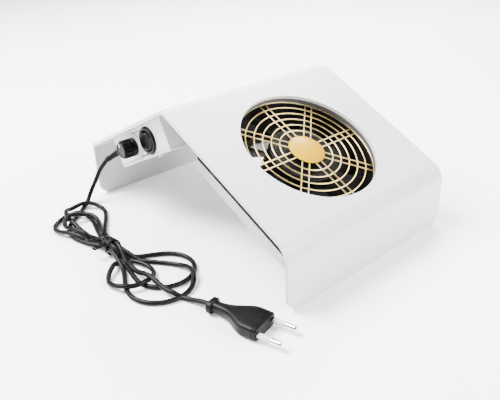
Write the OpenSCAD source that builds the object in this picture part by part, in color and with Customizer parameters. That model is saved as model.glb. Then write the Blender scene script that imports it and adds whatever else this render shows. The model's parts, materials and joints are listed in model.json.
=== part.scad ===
// Nail dust collector: a bent cover with an axial fan under its front slope and an
// electrical box under its rear slope. The origin is the middle of the front wall's
// bottom edge, +Y goes to the rear wall, the control panel faces -X.

/* [Cover] */
// Width of the cover, side to side
cover_w = 184; // [170:1:221]
// Depth of the cover, outside of front wall to outside of rear wall
cover_d = 263; // [255:1:320]
// Height of the front wall up to its fold
front_h = 50; // [48:1:62]
// Slope of the front panel, in degrees
front_angle = 26; // [24:0.5:30]
// Distance from the front wall to the ridge
ridge_d = 137; // [136:1:165]
// Height of the rear wall up to its fold
rear_h = 53; // [46:1:64]
// Thickness of the sheet
sheet_t = 3; // [2:0.5:4]
// Outer radius of the front fold
front_fold_r = 18; // [8:1:20]
// Outer radius of the ridge
ridge_r = 8; // [5:1:12]
// Outer radius of the rear fold
rear_fold_r = 6; // [5:1:12]
// Radius of the walls' lower corners
foot_r = 12; // [3:1:20]

/* [Opening and guard] */
// Diameter of the round opening
opening_d = 115; // [96:1:116]
// Distance from the front fold to the middle of the opening, along the slope
opening_s = 75; // [74:0.5:78]
// Gap between the sheet and the fan
guard_gap = 6; // [3:0.5:8]
// Number of rings in the guard
ring_count = 6; // [4:1:9]
// Thickness and width of a guard wire
wire_t = 1.6; // [1.2:0.1:2]
// Distance between the two wires of a spoke
spoke_gap = 6; // [3:0.5:8]
// Diameter of the badge
badge_d = 31; // [24:1:36]
// Height of the badge
badge_h = 3; // [2:0.5:4]

/* [Fan] */
// Side of the square fan frame
fan_side = 120; // [119:1:124]
// Depth of the fan
fan_h = 38; // [34:1:40]
// Distance between the fan's screw holes
fan_pitch = 105; // [104:0.5:106]
// Diameter of the fan screws
fan_screw_d = 4; // [3:0.5:5]
// Number of rotor blades
blade_count = 7; // [5:1:9]
// Diameter of the rotor hub
hub_d = 60; // [56:1:68]
// Gap between the blade tips and the frame
tip_gap = 2; // [1:0.5:4]
// Diameter of the rotor shaft
shaft_d = 3; // [2:0.5:4]

/* [Exhaust] */
// Thickness of the exhaust flange
flange_t = 9.5; // [8:0.5:12]
// Outer diameter of the bag collar
collar_d = 106; // [90:1:108]
// Length of the bag collar
collar_l = 6; // [5:1:8]
// Wall of the bag collar
collar_t = 3; // [2:0.5:4]

/* [Electrical box] */
// Width of the box, from the control panel inwards
box_w = 120; // [110:1:144]
// Length of the box along the rear slope
box_l = 90; // [86:1:108]
// Height of the box, lid included
box_h = 28; // [27:1:30]
// Distance from the ridge to the box
box_s = 15; // [15:0.5:20]
// Distance from the cover's side to the control panel
box_inset = 5; // [3:0.5:10]
// Wall of the box
box_t = 2; // [1.5:0.5:2.5]

/* [Controls] */
// Distance from the ridge to the switch
switch_s = 44; // [42:1:46]
// Distance between the switch and the knob
control_pitch = 25; // [23:1:26]
// Diameter of the switch bezel
bezel_d = 24; // [22:0.5:25]
// Diameter of the switch barrel
barrel_d = 20; // [18:0.5:21]
// Angle through which the rocker tips, in degrees
rocker_throw = 18; // [12:1:20]
// Diameter of the knob
knob_d = 16; // [14:0.5:19]
// Height of the knob
knob_h = 13; // [10:0.5:18]
// Diameter of the dial plate
dial_d = 23; // [20:0.5:24]

/* [Cord] */
// Diameter of the mains cord
cord_d = 4; // [4:0.5:5]
// Length of the plug body
plug_l = 46; // [42:1:54]
// Width of the plug body at its pins
plug_w = 25; // [24:0.5:36]
// Thickness of the plug body
plug_t = 11; // [10:0.5:14]

/* [Hidden] */
$fn = 64;

eps = 0.5;                        // how far cutters run past a face
front_y = -sheet_t / 2;
rear_y = front_y + cover_d;
ridge_y = front_y + ridge_d;
ridge_z = front_h + ridge_d * tan(front_angle);
rear_angle = atan((ridge_z - rear_h) / (cover_d - ridge_d));
fold_steps = 10;

// Levels below the outer face of the front slope, along the fan's axis
fan_top = -sheet_t - guard_gap;
fan_base = fan_top - fan_h;
flange_base = fan_base - flange_t;
frame_plate_t = 4;
frame_post_r = 5;
strut_w = 6;
strut_t = 3;
bore_r = fan_side / 2 - 2.5;
tip_r = bore_r - tip_gap;
screw_at = [for (x = [-1, 1], y = [-1, 1]) [x, y] * fan_pitch / 2];
boss_r = fan_screw_d / 2 + 2.5;
screw_clear = 0.2;
ring_pitch = (opening_d / 2 + 1 - badge_d / 2) / ring_count;
eye_r = boss_r + 2.5;
badge_stud_r = 3;

hub_top = fan_top - 3;
hub_r = hub_d / 2;
hub_t = 2;
blade_chord = 40;
blade_pitch = 33;
blade_t = 2;
base_t = 2;
tube_top = hub_top - 7;
tube_r = 6.5;
bearing_r = 5;
bearing_h = 4;
bearing_low = fan_base + base_t + 2.5;
bearing_high = tube_top - bearing_h;
run_gap = 0.05;                   // radial clearance of the shaft in its bearings
core_r = hub_r - 8.5;
core_z = [fan_base + 8, fan_base + 22];
cage_t = 5;
air_gap = 0.8;
winding_h = 3;
skirt_base = fan_base + 5;        // the rotor skirt clears the frame

// The box, in the rear slope's own frame
box_x = -cover_w / 2 + box_inset;
box_top = -sheet_t;
box_base = box_top - box_h;
box_end = box_s + box_l;
control_z = box_top - box_h / 2;
knob_s = switch_s + control_pitch;
box_boss_r = 2.5;
box_screw_d = 3;
box_screw_at = [for (x = [46, box_w - 18], s = [9, box_l - 9]) [box_x + x, box_s + s]];
lid_post_r = 3.5;
lid_screw_at = [for (x = [38, box_w - 5], s = [7, box_l - 5]) [box_x + x, box_s + s]];
dial_t = 1;
knob_lift = dial_t + 0.6;         // the knob turns clear of the dial
knob_chamfer = 0.8;
bush_r = 3.5;
pot_shaft_r = 3;
board_t = 1.6;
board_z = box_top - box_t - 5;
parts_z = board_z - board_t;      // the parts hang from this face
board_size = [64, 46];
board_at = [box_x + 44, box_s + 18];
relief_at = [box_x + 7, box_end, box_top - 12];

lead_hole = [box_x + box_w, box_s + 25, box_top - 11];
fan_lead_d = 3.2;
wire_d = 1.8;
// Routes of the wires inside the box, in the rear slope's frame, from the panel's corner:
// mains to the terminals, terminals to switch and board, switch, knob and fan to the board
wire_routes = [
    [[6, 86, -14.5], [8, 83.5, -13.5], [14, 83.5, -12.5], [19, 83, -12], [20, 80, -12], [20, 77, -12]],
    [[8, 86, -16], [11, 83.5, -16], [20, 84, -14], [26, 83.5, -12.5], [28, 80, -12], [28, 77, -12]],
    [[20, 73, -12], [20, 68, -12.5], [19, 62, -14], [21, 48, -15], [23, 38, -16], [22, 34, -17]],
    [[28, 73, -12], [28, 68, -12.5], [30, 62, -16], [38, 56, -18], [46, 50, -15], [48, 46, -11.8]],
    [[22, 24, -17], [25, 18, -18], [32, 14, -18], [42, 14, -17], [50, 16, -16], [53, 20, -14.5],
        [53, 23, -11.8]],
    [[12, 54, -20], [20, 50, -21], [34, 44, -20], [46, 40, -16], [49, 36, -11.8]],
    [[box_w - 2, 25, -14], [box_w - 7, 28, -15], [109, 34, -16], [107, 41, -14], [105, 47, -11.8]]];

// Rocker, seen along its own axis, before it tips to its rest position
rocker_r = 7.6;
rocker_bore_r = 8.6;
bezel_t = 2;

// The cord's route, resting on the table wherever nothing holds it
relief_curve = [[0, 0, 0], [0, 6, 0], [-1.5, 12, -0.8], [-5, 18, -2.2], [-10, 22, -3.7]];
lead_route = [[-90, 240, 43], [-96, 246, 32], [-101, 249, 21], [-107, 250, 11], [-112, 248, 5],
    [-118, 244, 2.5]];
tail_route = [[-140, 72, 3], [-136, 66, 2.5], [-132.5, 57, 2.5], [-130, 48, 4.5], [-128.1, 39.6, 5.5]];
tie_at = [-140, 154, 7.5];
hank_r = 6.2;
hank_h = 12;
tie_t = 1;
tie_w = 5;
plug_face = [-117, -5];
plug_heading = -76;
plug_neck_w = 8;
plug_collar_w = 13;
pin_r = 2;
pin_l = 19;
pin_pitch = 18.6;
sleeve_l = 10;
pin_root_r = 1.5;
pin_root_l = 6;
pin_tip_l = 1;

// ---------- helpers ----------

// Frames: under the opening, on the rear slope, on the control panel, at the plug's pin face
module on_fan() {
    translate([0, front_y, front_h]) rotate([front_angle, 0, 0]) translate([0, opening_s, 0]) children();
}
module on_rear() {
    translate([0, ridge_y, ridge_z]) rotate([-rear_angle, 0, 0]) children();
}
module on_panel(s) {
    on_rear() translate([box_x, s, control_z]) rotate([0, -90, 0]) children();
}
module on_plug() {
    translate([plug_face[0], plug_face[1], 0]) rotate([0, 0, plug_heading]) children();
}

module ring(r_out, r_in, h) {
    difference() {
        cylinder(r = r_out, h = h);
        translate([0, 0, -eps]) cylinder(r = r_in, h = h + 2 * eps);
    }
}
module pan_screw(d, l, head_d, head_h) {
    cylinder(d = d, h = l);
    translate([0, 0, -head_h]) cylinder(d = head_d, h = head_h);
}

function arc(c, r, a0, a1, n) =
    [for (i = [0:n]) c + r * [cos(a0 + (a1 - a0) * i / n), sin(a0 + (a1 - a0) * i / n)]];
function backwards(list) = [for (i = [len(list) - 1:-1:0]) list[i]];

// One side of a fold at the corner p, between the directions a_in and a_out
function fold(p, a_in, a_out, r, inset) =
    let (t = r * tan((a_in - a_out) / 2))
    arc(p + [-t * cos(a_in) + r * sin(a_in), -t * sin(a_in) - r * cos(a_in)],
        r - inset, a_in + 90, a_out + 90, fold_steps);
function cover_side(inset) = concat(
    [[front_y + inset, 0]],
    fold([front_y, front_h], 90, front_angle, front_fold_r, inset),
    fold([ridge_y, ridge_z], front_angle, -rear_angle, ridge_r, inset),
    fold([rear_y, rear_h], -rear_angle, -90, rear_fold_r, inset),
    [[rear_y - inset, 0]]);

// A round tube swept along a smooth curve through the route's points
function unit(v) = v / norm(v);
function catmull(a, b, c, d, t) =
    0.5 * (2 * b + (c - a) * t + (2 * a - 5 * b + 4 * c - d) * t * t
        + (3 * b - a - 3 * c + d) * t * t * t);
function smooth(p, n) =
    let (last = len(p) - 1)
    concat([for (i = [0:last - 1], k = [0:n - 1])
        catmull(p[max(i - 1, 0)], p[i], p[i + 1], p[min(i + 2, last)], k / n)], [p[last]]);
function heading(p, i) = unit(p[min(i + 1, len(p) - 1)] - p[max(i - 1, 0)]);
function carry(side, t) = unit(side - (side * t) * t);
function sides(p, side, i = 0) =
    let (now = carry(side, heading(p, i)))
    i == len(p) - 1 ? [now] : concat([now], sides(p, now, i + 1));
module swept(p, r_start, r_end, facets) {
    up = sides(p, abs(heading(p, 0)[2]) > 0.9 ? [1, 0, 0] : [0, 0, 1]);
    rings = [for (i = [0:len(p) - 1])
        let (across = cross(heading(p, i), up[i]), r = r_start + (r_end - r_start) * i / (len(p) - 1))
        for (k = [0:facets - 1])
            p[i] + r * (cos(k * 360 / facets) * up[i] + sin(k * 360 / facets) * across)];
    last = len(rings) - 1;
    polyhedron(rings, concat([[for (k = [0:facets - 1]) k]],
        [for (i = [0:len(p) - 2], k = [0:facets - 1])
            let (a = i * facets + k, b = i * facets + (k + 1) % facets)
            [b, a, a + facets, b + facets]],
        [[for (k = [0:facets - 1]) last - k]]));
}
module wire(route, r) {
    swept(smooth(route, 3), r, r, 8);
}

// ---------- cover, guard ----------

module cover() color("white") difference() {
    union() {
        rotate([90, 0, 90]) translate([0, 0, -cover_w / 2]) linear_extrude(cover_w)
            polygon(concat(cover_side(0), backwards(cover_side(sheet_t))));
        on_fan() for (p = screw_at) translate([p[0], p[1], fan_top])
            cylinder(r = boss_r, h = guard_gap + sheet_t / 2);
        on_rear() for (p = box_screw_at) translate([p[0], p[1], box_top - box_t])
            cylinder(r = box_boss_r, h = box_t + sheet_t / 2);
    }
    on_fan() translate([0, 0, -sheet_t - eps]) cylinder(d = opening_d, h = sheet_t + 2 * eps, $fn = 128);
    on_fan() for (p = screw_at) translate([p[0], p[1], fan_top - eps])
        cylinder(d = fan_screw_d, h = guard_gap + sheet_t / 2 + eps);
    on_rear() for (p = box_screw_at) translate([p[0], p[1], box_top - box_t - eps])
        cylinder(d = box_screw_d, h = box_t + sheet_t / 2 + eps);
    for (side = [-1, 1], y = [0, rear_y - sheet_t / 2]) lower_corner(side, y);
}
// What is cut from a wall's lower corner to round it
module lower_corner(side, y) {
    translate([side * (cover_w / 2 - foot_r), y - sheet_t, foot_r]) rotate([-90, 0, 0])
        difference() {
            translate([side > 0 ? 0 : -foot_r - 1, 0, 0]) cube([foot_r + 1, foot_r + 1, 2 * sheet_t]);
            translate([0, 0, -eps]) cylinder(r = foot_r, h = 2 * sheet_t + 2 * eps);
        }
}

module rim_seal() color("dimgray") on_fan() translate([0, 0, fan_top + wire_t])
    ring(opening_d / 2 + 5, opening_d / 2 + 0.5, guard_gap - wire_t);

module guard_flat() {
    difference() {
        union() {
            for (i = [1:ring_count]) difference() {
                circle(r = badge_d / 2 + i * ring_pitch + wire_t / 2, $fn = 128);
                circle(r = badge_d / 2 + i * ring_pitch - wire_t / 2, $fn = 128);
            }
            circle(d = badge_d - 5);
            for (a = [0:45:315]) rotate(a) for (side = [-1, 1])
                translate([badge_d / 4, side * spoke_gap / 2 - wire_t / 2])
                    square([(a % 90 == 0 ? opening_d / 2 + 1 : fan_pitch / 2 * sqrt(2)) - badge_d / 4,
                        wire_t]);
            for (p = screw_at) translate(p) circle(r = eye_r);
        }
        for (p = screw_at) translate(p) circle(r = boss_r + screw_clear);
        circle(r = badge_stud_r);
    }
}
module guard() color("wheat") on_fan() translate([0, 0, fan_top]) linear_extrude(wire_t) guard_flat();

module guard_badge() color("goldenrod") on_fan() translate([0, 0, fan_top + wire_t]) {
    ball_r = (badge_d * badge_d / 4 + badge_h * badge_h) / (2 * badge_h);
    half_arc = asin(badge_d / 2 / ball_r);
    rotate_extrude($fn = 96) polygon(concat([[0, 0]],
        arc([0, badge_h - ball_r], ball_r, 90 - half_arc, 90, 12)));
    translate([0, 0, -wire_t]) cylinder(r = badge_stud_r, h = wire_t);
}

// ---------- fan ----------

module fan_frame() color([0.1, 0.1, 0.11]) on_fan() difference() {
    union() {
        difference() {
            union() {
                for (z = [fan_top - frame_plate_t, fan_base]) translate([-fan_side / 2, -fan_side / 2, z])
                    cube([fan_side, fan_side, frame_plate_t]);
                translate([0, 0, fan_base]) cylinder(d = fan_side, h = fan_h, $fn = 128);
                for (p = screw_at) translate([p[0], p[1], fan_base])
                    cylinder(r = frame_post_r, h = fan_h);
            }
            translate([0, 0, fan_base - eps]) cylinder(r = bore_r, h = fan_h + 2 * eps, $fn = 128);
        }
        for (a = [45:90:315]) rotate(a) translate([tube_r, -strut_w / 2, fan_base])
            cube([bore_r - tube_r + 1, strut_w, strut_t]);
        translate([0, 0, fan_base]) cylinder(r = hub_r - 1, h = base_t);
        translate([0, 0, fan_base]) cylinder(r = tube_r, h = tube_top - fan_base);
    }
    translate([0, 0, fan_base + base_t]) cylinder(r = bearing_r, h = fan_h);
    for (p = screw_at) translate([p[0], p[1], fan_base - eps])
        cylinder(r = fan_screw_d / 2 + screw_clear, h = fan_h + 2 * eps);
}

module stator_core() color("silver") on_fan() translate([0, 0, core_z[0]]) difference() {
    cylinder(r = core_r, h = core_z[1] - core_z[0]);
    translate([0, 0, -eps]) cylinder(r = tube_r, h = fan_h);
    for (a = [45:90:315]) rotate(a) translate([tube_r + 3, -2, -eps]) cube([core_r, 4, fan_h]);
}
module stator_windings() color("peru") on_fan() for (z = [core_z[0] - winding_h, core_z[1]])
    translate([0, 0, z]) ring(core_r - 3, tube_r + 1, winding_h);

module fan_bearings() color("lightgray") on_fan() for (z = [bearing_low, bearing_high])
    translate([0, 0, z]) ring(bearing_r, shaft_d / 2 + run_gap, bearing_h);

module blade() {
    intersection() {
        translate([0, 0, fan_base]) ring(tip_r, hub_r - 1, fan_h);
        translate([(hub_r + tip_r) / 2, 0, (hub_top + fan_base) / 2]) rotate([blade_pitch, 0, 0])
            cube([tip_r - hub_r + 14, blade_chord, blade_t], center = true);
    }
}
module rotor() color([0.13, 0.13, 0.14]) on_fan() {
    difference() {
        translate([0, 0, skirt_base]) cylinder(r = hub_r, h = hub_top - skirt_base);
        translate([0, 0, skirt_base - eps])
            cylinder(r = hub_r - hub_t, h = hub_top - hub_t - skirt_base + eps);
        translate([0, 0, hub_top - 5]) cylinder(d = shaft_d, h = 4);
    }
    difference() {
        translate([0, 0, tube_top + 0.5]) cylinder(r = 4, h = hub_top - tube_top - 1.5);
        translate([0, 0, tube_top]) cylinder(d = shaft_d, h = hub_top - tube_top - 1);
    }
    for (i = [0:blade_count - 1]) rotate(i * 360 / blade_count) blade();
}
module rotor_cage() color("gray") on_fan() translate([0, 0, core_z[0] + 0.5])
    ring(hub_r - hub_t, core_r + air_gap, core_z[1] - core_z[0] - 1);
module rotor_shaft() color("silver") on_fan() translate([0, 0, fan_base + base_t + 1])
    cylinder(d = shaft_d, h = hub_top - 1 - fan_base - base_t - 1);
module shaft_clip() color("dimgray") on_fan() translate([0, 0, bearing_low - 0.9])
    ring(shaft_d / 2 + 1.5, shaft_d / 2, 0.6);

module exhaust_flange() color("whitesmoke") on_fan() difference() {
    union() {
        translate([-fan_side / 2, -fan_side / 2, flange_base]) cube([fan_side, fan_side, flange_t]);
        translate([0, 0, flange_base - collar_l]) cylinder(d = collar_d, h = collar_l + 1, $fn = 128);
    }
    translate([0, 0, flange_base - collar_l - eps])
        cylinder(r = collar_d / 2 - collar_t, h = collar_l + flange_t + 2 * eps, $fn = 128);
    for (p = screw_at) translate([p[0], p[1], flange_base - eps])
        cylinder(r = fan_screw_d / 2 + screw_clear, h = flange_t + 2 * eps);
}
module fan_screws() color("silver") on_fan() for (p = screw_at) translate([p[0], p[1], flange_base])
    pan_screw(fan_screw_d, fan_top - flange_base + guard_gap + sheet_t / 2 - 0.5, 2 * fan_screw_d, 2.5);

// ---------- electrical box ----------

module box_block(inset, z0, z1) {
    translate([box_x + inset, box_s + inset, z0])
        cube([box_w - 2 * inset, box_l - 2 * inset, z1 - z0]);
}
module box_shell() color("white") difference() {
    on_rear() union() {
        difference() {
            box_block(0, box_base + box_t, box_top);
            box_block(box_t, box_base, box_top - box_t);
        }
        for (p = lid_screw_at) translate([p[0], p[1], box_base + box_t])
            cylinder(r = lid_post_r, h = box_h - 1.5 * box_t);
    }
    on_rear() for (p = box_screw_at) translate([p[0], p[1], box_top - 2 * box_t])
        cylinder(r = box_boss_r + screw_clear, h = 3 * box_t);
    on_rear() for (p = lid_screw_at) translate([p[0], p[1], box_base])
        cylinder(d = box_screw_d, h = 14);
    on_panel(switch_s) translate([0, 0, -box_t - eps]) cylinder(d = barrel_d, h = box_t + 2 * eps);
    on_panel(knob_s) translate([0, 0, -box_t - eps]) cylinder(r = bush_r, h = box_t + 2 * eps);
    on_rear() translate(relief_at + [0, -box_t - eps, 0]) rotate([-90, 0, 0])
        cylinder(r = cord_d / 2 + 1.5, h = box_t + 2 * eps);
    on_rear() translate(lead_hole + [-box_t - eps, 0, 0]) rotate([0, 90, 0])
        cylinder(r = 3, h = box_t + 2 * eps);
}
module box_lid() color("white") on_rear() difference() {
    box_block(0, box_base, box_base + box_t);
    for (p = lid_screw_at) translate([p[0], p[1], box_base - eps])
        cylinder(r = box_screw_d / 2 + screw_clear, h = box_t + 2 * eps);
    for (i = [0:5]) translate([box_x + box_w / 2 + (i - 2.5) * 8, box_s + box_l / 2 - 12, box_base - eps])
        cube([3, 24, box_t + 2 * eps]);
}
module lid_screws() color("silver") on_rear() for (p = lid_screw_at)
    translate([p[0], p[1], box_base]) pan_screw(box_screw_d, 10, 6, 1.8);
module box_screws() color("silver") on_rear() for (p = box_screw_at)
    translate([p[0], p[1], box_top - box_t]) pan_screw(box_screw_d, box_t + sheet_t / 2 - 0.3, 8, 2);

module switch_body() color([0.08, 0.08, 0.08]) on_panel(switch_s) difference() {
    union() {
        cylinder(d1 = bezel_d, d2 = bezel_d - 2, h = bezel_t);
        translate([0, 0, -15]) cylinder(d = barrel_d, h = 15);
    }
    translate([0, 0, -8]) cylinder(r = rocker_bore_r, h = 8 + bezel_t + eps);
}
// The rocker's two flats meet in a shallow valley over its pivot pin
module switch_rocker() color([0.15, 0.15, 0.15]) on_panel(switch_s)
    rotate([0, -rocker_throw / 2, 0]) rotate([90, 0, 0]) {
        intersection() {
            rotate([-90, 0, 0]) translate([0, 0, -4]) cylinder(r = rocker_r, h = 10);
            translate([0, 0, -10]) linear_extrude(20)
                polygon([[-9, 3.6], [0, 1.2], [9, 3.6], [9, -1], [3, -3.4], [-3, -3.4], [-9, -1]]);
        }
        cylinder(r = 1, h = 2 * (rocker_bore_r - run_gap), center = true);
    }
module switch_terminals() color("gold") on_panel(switch_s) for (side = [-1, 1])
    translate([-3, side * 5 - 0.4, -22]) cube([6, 0.8, 7]);

module pot_body() color("dimgray") on_panel(knob_s) {
    translate([0, 0, -box_t - 9]) ring(8.5, pot_shaft_r + run_gap, 9);
    translate([0, 0, -box_t]) ring(bush_r, pot_shaft_r + run_gap, box_t + dial_t + 3);
}
module pot_nut() color("silver") on_panel(knob_s) translate([0, 0, dial_t]) difference() {
    cylinder(r = 5.2, h = 2, $fn = 6);
    translate([0, 0, -eps]) cylinder(r = bush_r, h = 3);
}
module pot_shaft() color("lightgray") on_panel(knob_s) translate([0, 0, -box_t - 8])
    cylinder(r = pot_shaft_r, h = box_t + 8 + knob_h - 1.5);
module speed_knob() color([0.08, 0.08, 0.08]) on_panel(knob_s) translate([0, 0, knob_lift]) difference() {
    union() {
        cylinder(d = knob_d, h = knob_h - knob_chamfer);
        translate([0, 0, knob_h - knob_chamfer])
            cylinder(r1 = knob_d / 2, r2 = knob_d / 2 - knob_chamfer, h = knob_chamfer);
    }
    for (a = [20:20:340]) rotate(a) translate([knob_d / 2 + 0.4, 0, 3])
        cylinder(r = 1, h = knob_h - 3 - 2 * knob_chamfer, $fn = 24);
    translate([0, 0, -eps]) cylinder(r = knob_d / 2 - 1.8, h = 4 + eps);
    cylinder(r = pot_shaft_r, h = knob_h - 1.5 - knob_lift);
    translate([3, -0.5, knob_h - 0.6]) cube([knob_d / 2, 1, 1]);
}
module dial_plate() color("white") on_panel(knob_s) ring(dial_d / 2, bush_r, dial_t);

module board_item(x, s, z) {
    translate([board_at[0] + x, board_at[1] + s, z]) children();
}
module control_board() color("darkgreen") on_rear() difference() {
    board_item(0, 0, board_z - board_t) cube([board_size[0], board_size[1], board_t]);
    for (x = [4, board_size[0] - 4], s = [4, board_size[1] - 4]) board_item(x, s, board_z - 3)
        cylinder(r = 1.6, h = 5);
}
module board_spacers() color("ivory") on_rear()
    for (x = [4, board_size[0] - 4], s = [4, board_size[1] - 4]) {
        board_item(x, s, board_z) cylinder(r = 3, h = box_top - box_t - board_z);
        board_item(x, s, parts_z - 1) cylinder(r = 1.6, h = board_t + 2);
        board_item(x, s, parts_z - 2) cylinder(r = 2.4, h = 2);
    }
module capacitor() color("khaki") on_rear() board_item(12, 8, parts_z - 13) cube([26, 10, 13]);
module choke_coil() color("peru") on_rear() board_item(50, 23, parts_z - 9) ring(9, 4, 9);
module heat_sink() color("silver") on_rear() board_item(14, 34, parts_z - 14) {
    cube([22, 2, 14]);
    for (i = [0:3]) translate([i * 6.5, -5, 0]) cube([1.5, 5.5, 14]);
}
module power_triac() color([0.1, 0.1, 0.1]) on_rear() board_item(20, 36, parts_z - 12) cube([10, 4, 12]);
module terminal_block() color("ivory") on_rear() difference() {
    translate([box_x + 15, box_end - 20, box_top - box_t - 12]) cube([18, 10, 12]);
    for (x = [20, 28], s = [-20.5, -14]) translate([box_x + x, box_end + s, box_top - box_t - 7])
        rotate([-90, 0, 0]) cylinder(r = 1.5, h = 4.5);
}
module box_wires() color("firebrick") on_rear() for (route = wire_routes)
    wire([for (p = route) p + [box_x, box_s, 0]], wire_d / 2);
// The fan's two-core lead, from the frame's rear side to the box's inner end
function at_fan(p) = [p[0], front_y + (opening_s + p[1]) * cos(front_angle) - p[2] * sin(front_angle),
    front_h + (opening_s + p[1]) * sin(front_angle) + p[2] * cos(front_angle)];
function at_rear(p) = [p[0], ridge_y + p[1] * cos(rear_angle) + p[2] * sin(rear_angle),
    ridge_z - p[1] * sin(rear_angle) + p[2] * cos(rear_angle)];
module fan_lead() color([0.1, 0.1, 0.1]) {
    from = [fan_pitch / 2 - 2.5, fan_side / 2 - 4, fan_top - 14];
    wire([at_fan(from), at_fan(from + [0, 10, 0]), at_rear(lead_hole + [15, -8, -3]),
        at_rear(lead_hole + [11, -2, -1]), at_rear(lead_hole + [6, 0, 0]), at_rear(lead_hole + [2, 0, 0])],
        fan_lead_d / 2);
}
module lead_grommet() color([0.1, 0.1, 0.1]) on_rear() translate(lead_hole) rotate([0, 90, 0]) {
    cylinder(r = 4.5, h = 2);
    translate([0, 0, -box_t]) cylinder(r = 3, h = box_t + eps);
    translate([0, 0, -box_t - 1.5]) cylinder(r = 4, h = 1.5);
}

// ---------- mains cord ----------

module strain_relief() color([0.06, 0.06, 0.06]) on_rear() {
    translate(relief_at) rotate([-90, 0, 0]) {
        translate([0, 0, -box_t]) cylinder(r = cord_d / 2 + 1.5, h = box_t + eps);
        translate([0, 0, -box_t - 2]) cylinder(r = cord_d / 2 + 3, h = 2);
        cylinder(r = cord_d / 2 + 2.5, h = 1.5);
    }
    swept(smooth([for (p = relief_curve) p + relief_at], 3), cord_d / 2 + 1.6, cord_d / 2 + 0.6, 12);
}
module cord_lead() color([0.06, 0.06, 0.06]) swept(smooth(lead_route, 4), cord_d / 2, cord_d / 2, 10);
module cord_tail() color([0.06, 0.06, 0.06]) swept(smooth(tail_route, 4), cord_d / 2, cord_d / 2, 10);

// Outer shape of the tied bundle: a lobe on each side of its round waist
module cord_hank() color([0.06, 0.06, 0.06]) {
    linear_extrude(hank_h) {
        translate([-136, 206]) circle(r = 27);
        translate([-122, 227]) circle(r = 20);
        polygon([[-147, 166], [-163, 204], [-109, 206], [-133, 166]]);
    }
    linear_extrude(hank_h) {
        translate([-132, 96]) circle(r = 35);
        polygon([[-147, 142], [-166, 104], [-98, 104], [-133, 142]]);
    }
    translate([tie_at[0], 140, tie_at[2]]) rotate([-90, 0, 0]) cylinder(r = hank_r, h = 28);
}
module cord_tie() color([0.1, 0.1, 0.1]) translate(tie_at + [0, -tie_w / 2, 0]) rotate([-90, 0, 0])
    ring(hank_r + tie_t, hank_r, tie_w);

// The plug lies flat; its own x runs from the body towards the pins
module plug_body() color([0.06, 0.06, 0.06]) on_plug() difference() {
    union() {
        linear_extrude(plug_t) polygon([[0, plug_w / 2 - 1.5], [-1.5, plug_w / 2], [-14, plug_w / 2],
            [-22, plug_w / 3], [-30, plug_neck_w / 2 + 1], [2 - plug_l, plug_neck_w / 2],
            [2 - plug_l, -plug_neck_w / 2], [-30, -plug_neck_w / 2 - 1], [-22, -plug_w / 3],
            [-14, -plug_w / 2], [-1.5, -plug_w / 2], [0, 1.5 - plug_w / 2]]);
        translate([-plug_l, -plug_collar_w / 2, 0.5]) cube([4, plug_collar_w, plug_t - 1]);
    }
    for (side = [-1, 1]) translate([-pin_root_l, side * pin_pitch / 2, plug_t / 2]) rotate([0, 90, 0])
        cylinder(r = pin_root_r, h = pin_root_l + eps);
}
module on_pins() {
    on_plug() for (side = [-1, 1]) translate([0, side * pin_pitch / 2, plug_t / 2]) rotate([0, 90, 0])
        children();
}
module plug_pins() color("gainsboro") on_pins() {
    translate([0, 0, -pin_root_l]) cylinder(r = pin_root_r, h = pin_root_l + sleeve_l + 1);
    translate([0, 0, sleeve_l]) cylinder(r = pin_r, h = pin_l - sleeve_l - pin_tip_l);
    translate([0, 0, pin_l - pin_tip_l]) cylinder(r1 = pin_r, r2 = pin_r - 1, h = pin_tip_l);
}
module pin_sleeves() color("gray") on_pins() ring(pin_r, pin_root_r, sleeve_l);

cover();
rim_seal();
guard();
guard_badge();
fan_frame();
stator_core();
stator_windings();
fan_bearings();
rotor();
rotor_cage();
rotor_shaft();
shaft_clip();
exhaust_flange();
fan_screws();
box_shell();
box_lid();
lid_screws();
box_screws();
switch_body();
switch_rocker();
switch_terminals();
pot_body();
pot_nut();
pot_shaft();
speed_knob();
dial_plate();
control_board();
board_spacers();
capacitor();
choke_coil();
heat_sink();
power_triac();
terminal_block();
box_wires();
fan_lead();
lead_grommet();
strain_relief();
cord_lead();
cord_hank();
cord_tie();
cord_tail();
plug_body();
plug_pins();
pin_sleeves();
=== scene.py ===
"""The looks of a nail dust collector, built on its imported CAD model.

Each operator makes one piece or one group of like pieces. Lengths inside an operator are in
millimetres on the piece's own axes, and placed() carries them into the frame, in metres.
"""

import json
import math

import bmesh
import bpy
from mathutils import Matrix, Vector


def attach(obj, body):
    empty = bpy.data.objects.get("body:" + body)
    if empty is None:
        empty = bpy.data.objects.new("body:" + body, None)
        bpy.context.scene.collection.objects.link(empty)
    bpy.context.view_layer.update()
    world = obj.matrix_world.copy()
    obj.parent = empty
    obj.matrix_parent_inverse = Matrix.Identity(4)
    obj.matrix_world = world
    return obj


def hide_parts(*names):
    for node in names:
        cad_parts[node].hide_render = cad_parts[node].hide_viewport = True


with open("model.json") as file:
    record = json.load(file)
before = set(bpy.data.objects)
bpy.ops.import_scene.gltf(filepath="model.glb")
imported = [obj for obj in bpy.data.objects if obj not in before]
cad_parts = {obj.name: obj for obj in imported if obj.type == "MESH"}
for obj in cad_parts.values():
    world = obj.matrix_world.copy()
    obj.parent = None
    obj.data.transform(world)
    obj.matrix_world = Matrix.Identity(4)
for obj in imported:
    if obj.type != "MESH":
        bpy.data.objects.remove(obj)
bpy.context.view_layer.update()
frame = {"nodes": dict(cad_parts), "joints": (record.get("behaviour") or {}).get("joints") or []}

bl_info = {
    "name": "Nail Dust Collector",
    "version": (1, 0, 0),
    "blender": (4, 5, 0),
    "location": "3D View > Sidebar > Dust Collector",
    "description": "Builds the visible pieces of a nail dust collector on its CAD frame",
    "category": "Object",
}

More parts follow.
